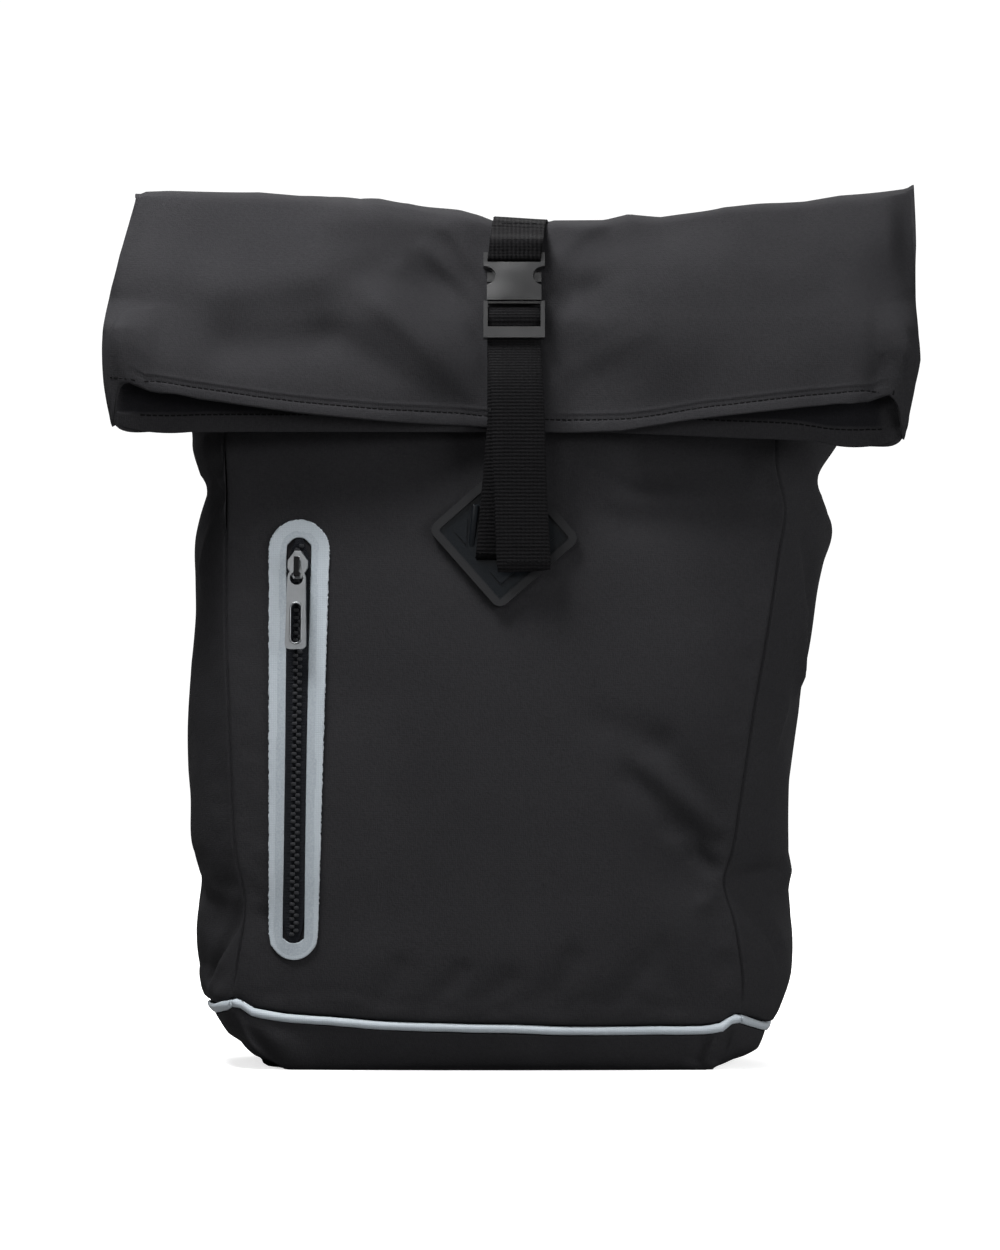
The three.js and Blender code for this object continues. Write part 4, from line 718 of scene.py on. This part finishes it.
# A row of stitches along a line of places, across and up in millimetres, on the cloth's front or back face.
def sew_row(cloth, places, name, facing=-1):
    bpy.context.view_layer.update()
    start = far_off * facing
    hits = [cloth.ray_cast((x * mm, start, z * mm), (0, -facing, 0)) for x, z in places]
    line = [(place, normal) for found, place, normal, _ in hits if found]
    gone, row = stitch_pitch, []
    for (start_place, normal), (end_place, other) in zip(line, line[1:]):
        run = end_place - start_place
        while gone < run.length:
            along = run.normalized()
            up = normal.lerp(other, gone / run.length).normalized()
            side = along.cross(up).normalized()
            turn = Matrix((along, up, side)).transposed().to_4x4()
            copy = bpy.data.objects.new(name, stitch.data.copy())
            bpy.context.scene.collection.objects.link(copy)
            copy.data.transform(Matrix.Translation(start_place + along * gone - up * stitch_sink) @ turn)
            row.append(copy)
            gone += stitch_pitch
        gone -= run.length
    finish_piece(join_pieces(row, name), thread)


# The hem's sewing follows its edge, then turns down beside the right corner in one short row.
def hem_line(sheet, rise, start, end):
    points = points_of(sheet)
    over = above_hem(sheet)
    near = points[(np.abs(over - rise) < 1.5 * mm) & (points[:, 1] < -45 * mm)] / mm
    across = np.linspace(start, end, 100)
    return [(x, near[np.abs(near[:, 0] - x) < 6, 2].mean()) for x in across]


sew_row(flap, hem_line(flap, hem_band, -181, 194), "hem_sewing")
sew_row(flap, [(195, 341), (194.4, 337), (193.8, 332)], "hem_end_sewing")
sew_row(flap, [(-195, 345.6), (-192, 345.6), (-189, 345.4), (-185, 345.0), (-181, 344.4)], "hem_start_sewing")
sew_row(inner_sheet, hem_line(inner_sheet, lining_band - 1.2 * mm, -180, 190), "lining_sewing")

# Zip: a moulded zip in a welded border of reflective tape, frayed a little where the tape was cut.
# Two rows of black teeth mesh down the middle of a woven tape. The slider and its puller are grey metal.
zip_frame = cut_cloth("zip_frame", "zip_frame_tape", 4, edge_crease=1.0)
points = points_of(zip_frame)
zip_low, zip_high = Vector((-102.8, 54)) * mm, Vector((-99.5, 274.5)) * mm
low_half, high_half = 13.2 * mm, 15 * mm
slope = (zip_high.x - zip_low.x) / (zip_high.y - zip_low.y)
middle_x = zip_low.x + (points[:, 2] - zip_low.y) * slope
narrow = np.interp(points[:, 2] / mm, [54, 100, 180, 240], [0.91, 0.93, 0.97, 1])
points[:, 0] = middle_x + (points[:, 0] - middle_x) * narrow
points[:, 2] += 1.8 * mm * ramp(points[:, 2], 90 * mm, 54 * mm)
middle_z = np.clip(points[:, 2], zip_low.y + low_half, zip_high.y - high_half)
out = np.stack([points[:, 0] - middle_x, np.zeros(len(points)), points[:, 2] - middle_z], axis=1)
reach = np.linalg.norm(out, axis=1)
border = ramp(reach, 6 * mm, 14 * mm)
fray = 0.6 * mm * ripple(points, 0.8 * mm, 31) * ramp(reach, 11.4 * mm, 12.2 * mm)
slot_gain = np.interp(points[:, 2] / mm, [54, 100, 160, 220], [1.6, 1.0, 0.4, 0]) * mm
by_slot = ramp(reach, 11 * mm, 4 * mm)
points[:, 0] += out[:, 0] / reach * slot_gain * by_slot
points += out / reach[:, None] * fray[:, None]
points[:, 1] -= 0.35 * mm * np.sin(np.pi * border) * (rim_share(zip_frame) < 0.9)
set_points(zip_frame, points)
finish_piece(zip_frame, reflective, stands_for=["zip_frame"])
pressed, pressed_spot = new_finish("pressed_tape", Specular_IOR_Level=0.35)
pressed_beads = pressed_spot.grain(0.9 * mm, 2.0)
pressed_grey = pressed_beads.blend((0.225, 0.258, 0.288), (0.385, 0.425, 0.458))
weave_in(pressed, pressed_grey, pressed_beads * 0.1 + 0.4, pressed_beads, 0.00008)
zip_frame.data.materials.append(pressed)
pressed_reach = 9.6 * mm
for face in zip_frame.data.polygons:
    if reach[face.vertices[0]] < pressed_reach:
        face.material_index = 1

zip_weave, weave_spot = new_finish("zip_tape_weave", Specular_IOR_Level=0.1)
weave_x, _, weave_z = weave_spot.axes()
ribs = weave_z.wave(0.75 * mm) * 0.6 + (weave_x + weave_z).wave(1.1 * mm) * 0.4
zip_black = ribs.blend((0.004, 0.0046, 0.006), (0.0105, 0.0117, 0.015))
weave_in(zip_weave, zip_black, ribs * 0.1 + 0.75, ribs, 0.00025)
zip_tape = cut_cloth("zip_tape", "zip_tape_cloth", 2, edge_crease=0.9)
points = points_of(zip_tape)
middle_x = zip_low.x + (points[:, 2] - zip_low.y) * slope
widened = np.interp(points[:, 2] / mm, [54, 100, 160, 220], [1.3, 1.2, 1.08, 1])
points[:, 0] = middle_x + (points[:, 0] - middle_x) * widened
set_points(zip_tape, points)
finish_piece(zip_tape, zip_weave, stands_for=["zip_tape"])

moulded, mould_spot = new_finish("moulded_plastic", Specular_IOR_Level=0.08)
speckle = mould_spot.grain(0.7 * mm, 3.0)
smears = mould_spot.grain(9 * mm, 2.0)
weave_in(
    moulded,
    smears.blend((0.003, 0.003, 0.0034), (0.006, 0.006, 0.0066)),
    smears * 0.12 + speckle * 0.12 + 0.28,
    speckle,
    0.00006,
)
chain_points = points_of(copy_solid("zip_chain", "zip_chain_guide"))
bpy.ops.object.delete()
chain_low, chain_high = chain_points[:, 2].min(), chain_points[:, 2].max()


def chain_face(height):
    near = chain_points[np.abs(chain_points[:, 2] - height) < 12 * mm]
    curve = np.polyfit(near[:, 2], near[:, 1], 1)
    return np.polyval(curve, height) - 0.8 * mm


tooth_pitch = 3.75 * mm
tooth_size = Vector((2.5, 2.0, 1.8)) * mm
tooth_aside, tooth_sink = 1.05 * mm, 1.5 * mm
tooth = rounded_block(tooth_size, 0.5 * mm, 2)
teeth = []
tooth_count = int((chain_high - chain_low) / tooth_pitch)
for i in range(1, tooth_count):
    for side in (-1, 1):
        height = chain_low + (i + 0.5 + 0.25 * side) * tooth_pitch
        copy = bpy.data.objects.new("zip_tooth", tooth.data.copy())
        bpy.context.scene.collection.objects.link(copy)
        middle = zip_low.x + (height - zip_low.y) * slope
        place = (middle + side * tooth_aside, chain_face(height) + tooth_sink, height)
        copy.data.transform(Matrix.Translation(place))
        teeth.append(copy)
bpy.data.objects.remove(tooth)

zip_teeth = join_pieces(teeth, "zip_teeth")
bpy.ops.object.shade_smooth_by_angle(angle=math.radians(40))
nylon, nylon_spot = new_finish("zip_nylon", Specular_IOR_Level=0.15)
nylon_grain = nylon_spot.grain(1.1 * mm, 2.0)
nylon_black = nylon_grain.blend((0.013, 0.0138, 0.0155), (0.028, 0.029, 0.032))
weave_in(nylon, nylon_black, nylon_grain * 0.1 + 0.5, nylon_grain, 0.00005)
finish_piece(zip_teeth, nylon, stands_for=["zip_chain"])


# A hard piece from a CAD solid: its flat faces made whole again and its edges rounded, as a mould or a press
# leaves them.
def round_edges(node, name, radius, segments=3, mould=None):
    piece = copy_solid(node, name)
    bpy.ops.object.mode_set(mode="EDIT")
    bpy.ops.mesh.select_all(action="SELECT")
    bpy.ops.mesh.dissolve_limited(angle_limit=math.radians(2))
    bpy.ops.object.mode_set(mode="OBJECT")
    if mould:
        mould(piece)
    bpy.ops.object.shade_smooth()
    rounding = piece.modifiers.new("rounding", "BEVEL")
    rounding.width = radius
    rounding.segments = segments
    rounding.limit_method = "ANGLE"
    rounding.angle_limit = math.radians(30)
    rounding.harden_normals = True
    apply_all(piece)
    return piece


gunmetal, metal_spot = new_finish("gunmetal", Specular_IOR_Level=0.5)
scratches = metal_spot.stretch((1, 1, 0.08)).grain(0.5 * mm, 3.0)
tarnish = metal_spot.grain(7 * mm, 3.0)
weave_in(
    gunmetal,
    tarnish.blend((0.17, 0.178, 0.186), (0.27, 0.28, 0.29)),
    scratches * 0.16 + tarnish * 0.12 + 0.26,
    scratches,
    0.00004,
)
gunmetal.node_tree.nodes["Principled BSDF"].inputs["Metallic"].default_value = 1.0
slider = round_edges("zip_slider", "zip_slider_metal", 0.3 * mm)
finish_piece(slider, gunmetal, stands_for=["zip_slider"])
slider.data.materials.append(moulded)

# The bridge over the slider is black, and the window of the puller has a raised lip.
slider_points = points_of(slider)
slider_middle = (slider_points[:, 0].min() + slider_points[:, 0].max()) / 2
plate_front = slider_points[np.abs(slider_points[:, 0] - slider_middle) > 3.4 * mm, 1].min()
for face in slider.data.polygons:
    if face.center.y < plate_front - 0.3 * mm:
        face.material_index = 1
puller = round_edges("zip_puller", "zip_puller_metal", 0.18 * mm)
window_half, window_straight, window_from_end = 2.85 * mm, 7.3 * mm, 13 * mm
puller_points = points_of(puller)
spread = puller_points - puller_points.mean(axis=0)
puller_axes = np.linalg.svd(spread, full_matrices=False)[2]
long_way = Vector(puller_axes[0]) * np.sign(puller_axes[0][2])
front_way = Vector(puller_axes[2]) * -np.sign(puller_axes[2][1])
side_way = long_way.cross(front_way)
lip_place = long_way * ((puller_points @ np.array(long_way)).min() + window_from_end)
lip_place += front_way * (puller_points @ np.array(front_way)).max()
side_reach = puller_points @ np.array(side_way)
lip_place += side_way * (side_reach.min() + side_reach.max()) / 2
bpy.ops.object.select_all(action="DESELECT")
bpy.ops.mesh.primitive_torus_add(
    major_radius=window_half,
    minor_radius=0.45 * mm,
    major_segments=32,
    minor_segments=10,
)
lip = bpy.context.object
lip.name = "zip_puller_lip"
points = points_of(lip)
points[:, 1] += np.sign(points[:, 1]) * window_straight
set_points(lip, points)
bpy.ops.object.shade_smooth()
lip_turn = Matrix((side_way, long_way, front_way)).transposed().to_4x4()
lip.data.transform(Matrix.Translation(lip_place) @ lip_turn)
finish_piece(lip, gunmetal, "puller")
finish_piece(puller, gunmetal, "puller", stands_for=["zip_puller"])

# Anchor patch: a square of black moulded rubber set on its corner, with a raised rim and raised corner marks.
# It is welded to the front panel and holds the lower end of the closing strap in its slot.
rubber, rubber_spot = new_finish("patch_rubber", Specular_IOR_Level=0.12)
rubber_x, _, rubber_z = rubber_spot.axes()
patch_x, patch_z, patch_turn = 2 * mm, 267.5 * mm, math.radians(3.7)
aside, above = rubber_x - patch_x, rubber_z - patch_z
level = rubber_spot.math("ABSOLUTE", aside * math.cos(patch_turn) - above * math.sin(patch_turn))
upright = rubber_spot.math("ABSOLUTE", aside * math.sin(patch_turn) + above * math.cos(patch_turn))
on_rim = (level + upright).between(31.4 * mm, 33 * mm)
pores = rubber_spot.grain(0.8 * mm, 3.0)
bloom = rubber_spot.grain(14 * mm, 2.0)
field_tone = bloom.blend((0.0035, 0.0045, 0.0058), (0.0065, 0.008, 0.0098))
rim_tone = bloom.blend((0.011, 0.0112, 0.0122), (0.017, 0.0172, 0.0185))
weave_in(rubber, on_rim.blend(field_tone, rim_tone), on_rim * 0.25 + pores * 0.1 + 0.26, pores, 0.00008)
patch = round_edges("anchor_patch", "anchor_patch_rubber", 0.55 * mm)
slot_rib_size = Vector((3.4, 2.2, 24)) * mm
rib_place = patch.ray_cast((-13.2 * mm, -far_off, 270.5 * mm), (0, 1, 0))[1]
slot_rib = rounded_block(slot_rib_size, 0.8 * mm, 3)
bpy.ops.object.shade_smooth_by_angle(angle=math.radians(40))
slot_rib.data.transform(Matrix.Translation(rib_place) @ Matrix.Rotation(math.radians(6), 4, "Y"))
patch = join_pieces([patch, slot_rib], "anchor_patch_rubber")
finish_piece(patch, rubber, stands_for=["anchor_patch"])

# Closing strap: black polypropylene webbing, sewn down behind the ridge and looped through the buckle.
# The lower length runs from the patch over the ladder bar of the buckle and hangs in front as a free tail.


# Woven webbing: ribs across the strap and cords along it, of different strength on its two sides.
def weave_webbing(name, rib_share, cord_share, light, gloss):
    finish, spot = new_finish(name, Specular_IOR_Level=gloss)
    x, y, z = spot.axes()
    fuzz = spot.grain(1.0 * mm, 3.0).between(0.3, 0.7)
    tone = (y + z).wave(1.75 * mm) * rib_share + x.wave(2.1 * mm) * cord_share + fuzz * 0.3
    weave_in(finish, tone.blend((0.0004, 0.0004, 0.0006), light), fuzz * 0.15 + 0.66, tone, 0.0003)
    return finish


# The plain webbing is darker than the face webbing: partly its own weave, partly painted shade of the strap
# under the buckle.
webbing = weave_webbing("webbing", 0.5, 0.2, (0.0060, 0.0057, 0.0065), 0.08)
webbing_face = weave_webbing("webbing_face", 0.25, 0.45, (0.0105, 0.0102, 0.0108), 0.03)
strap_upper = cut_cloth("strap_upper", "strap_upper_webbing", 2, edge_crease=0.85)
points = points_of(strap_upper)
on_ridge = ramp(points[:, 2], 412 * mm, 424 * mm)
points[:, 2] -= np.interp(points[:, 0] / mm, [-6, 19], [0.8, 2.4]) * mm * on_ridge
points[:, 2] += np.interp(points[:, 1] / mm, [-53.5, -48, -43.9], [0, 1.6, 0]) * mm
points[:, 0] += 2.8 * mm * ramp(points[:, 2], 404 * mm, 426 * mm)
set_points(strap_upper, points)
finish_piece(strap_upper, webbing_face, stands_for=["strap_upper"])
for height in (422, 414):
    sew_row(strap_upper, [(-1.2, height), (8.9, height), (19.2, height)], "strap_upper_sewing")
for height in (394, 386):
    sew_row(strap_upper, [(-2.5, height), (7.5, height), (17.5, height)], "strap_back_sewing", 1)
strap_lower = cut_cloth("strap_lower", "strap_lower_webbing", 2, edge_crease=0.85)
finish_piece(strap_lower, webbing, stands_for=["strap_lower"])
for height in (262, 254):
    sew_row(strap_lower, [(1.5, height), (12, height), (23, height)], "strap_tail_sewing")

# Buckle: a side-release buckle in black moulded plastic, fastened. The female half hangs on the upper
# webbing, the male half slides along the lower one.
buckle_plastic, buckle_spot = new_finish("buckle_plastic", Specular_IOR_Level=0.75)
mould_grain = buckle_spot.grain(0.7 * mm, 3.0)
sheen = buckle_spot.grain(9 * mm, 2.0)
weave_in(
    buckle_plastic,
    sheen.blend((0.005, 0.0051, 0.0057), (0.0085, 0.0087, 0.0095)),
    sheen * 0.1 + mould_grain * 0.1 + 0.24,
    mould_grain,
    0.00005,
)
buckle_out = np.array((0, -0.973, 0.232))
buckle_up = np.array((0, 0.232, 0.973))
buckle_middle = np.array((7, -64.6, 393.5)) * mm


# Cuts a piece along planes across one direction, each so many millimetres from the middle of the buckle.
def cut_across(piece, direction, distances):
    bpy.ops.object.mode_set(mode="EDIT")
    for distance in distances:
        bpy.ops.mesh.select_all(action="SELECT")
        bpy.ops.mesh.bisect(plane_co=buckle_middle + distance * mm * direction, plane_no=direction)
    bpy.ops.object.mode_set(mode="OBJECT")


# The face of the female half is crowned.
def crown_face(piece):
    cut_across(piece, np.array((1, 0, 0)), (-11, -8, -5.5, -2.7, 0, 2.7, 5.5, 8, 11))
    cut_across(piece, buckle_up, (-8.5, -6.6, -3.9, -1.7, 0.7, 3.3, 5.6, 8))
    points = points_of(piece)
    from_middle = points - buckle_middle
    aside, above = from_middle[:, 0] / (15.5 * mm), from_middle @ buckle_up / (10.5 * mm)
    crown = 1.3 * mm * np.clip(1 - aside ** 2, 0, 1) * np.clip(1 - above ** 2, 0, 1)
    crown[from_middle @ buckle_out < -0.3 * mm] = 0
    set_points(piece, points + crown[:, None] * buckle_out)


buckle_female = round_edges("buckle_female", "buckle_female_plastic", 0.7 * mm, mould=crown_face)
finish_piece(buckle_female, buckle_plastic, stands_for=["buckle_female"])
buckle_male = round_edges("buckle_male", "buckle_male_plastic", 0.5 * mm)
finish_piece(buckle_male, buckle_plastic, stands_for=["buckle_male"])

# Carrying straps: two foam pads covered in softshell, sewn under the back panel's top edge.
# Webbing runs from the lower end of each to a cloth tab in the side seam.
pad_voxel, swell_limit = 4.5 * mm, 4 * mm
sewn_top_y, sewn_end = 62 * mm, 8 * mm
pad_sewing_heights = np.arange(140, 334, 6)
pad_sewing_inset = 6.5
for side in ("right", "left"):
    pad = copy_solid("shoulder_strap_" + side, "shoulder_pad_" + side)
    bpy.ops.object.mode_set(mode="EDIT")
    bpy.ops.mesh.select_all(action="SELECT")
    bpy.ops.transform.shrink_fatten(value=-1.2 * mm)
    bpy.ops.object.mode_set(mode="OBJECT")
    pad.data.remesh_voxel_size = pad_voxel
    bpy.ops.object.voxel_remesh()
    before = points_of(pad)
    ends = pad.vertex_groups.new(name="sewn_ends")
    bottom = before[:, 2].min()
    sewn = [v.index for v in pad.data.vertices if v.co.y < sewn_top_y or v.co.z < bottom + sewn_end]
    ends.add(sewn, 1.0, "REPLACE")
    swelling = pad.modifiers.new("swelling", "CLOTH")
    swelling.settings.vertex_group_mass = "sewn_ends"
    swelling.settings.use_pressure = True
    swelling.settings.uniform_pressure_force = 4
    swelling.settings.effector_weights.gravity = 0
    swelling.settings.quality = 6
    for step in range(1, 21):
        bpy.context.scene.frame_set(step)
    apply_all(pad)
    moved = points_of(pad) - before
    distance = np.linalg.norm(moved, axis=1)
    share = np.minimum(1, swell_limit / np.maximum(distance, 1e-9))
    set_points(pad, before + moved * share[:, None])
    plump = pad.modifiers.new("plump", "SUBSURF")
    plump.levels = plump.render_levels = 1
    apply_all(pad)
    bpy.ops.object.shade_smooth()
    finish_piece(pad, softshell, stands_for=["shoulder_strap_" + side])
    outline = points_of(pad) / mm
    for edge in (-1, 1):
        row = []
        for height in pad_sewing_heights:
            level = outline[np.abs(outline[:, 2] - height) < 4]
            row.append((edge * ((edge * level[:, 0]).max() - pad_sewing_inset), height))
        sew_row(pad, row, "pad_sewing_" + side, 1)
    lower = cut_cloth("strap_webbing_" + side, "strap_webbing_" + side + "_cloth", 2, edge_crease=0.85)
    finish_piece(lower, webbing, stands_for=["strap_webbing_" + side])
    tab = round_edges("strap_tab_" + side, "strap_tab_" + side + "_cloth", 0.7 * mm)
    finish_piece(tab, softshell, stands_for=["strap_tab_" + side])

bpy.data.objects.remove(stitch)
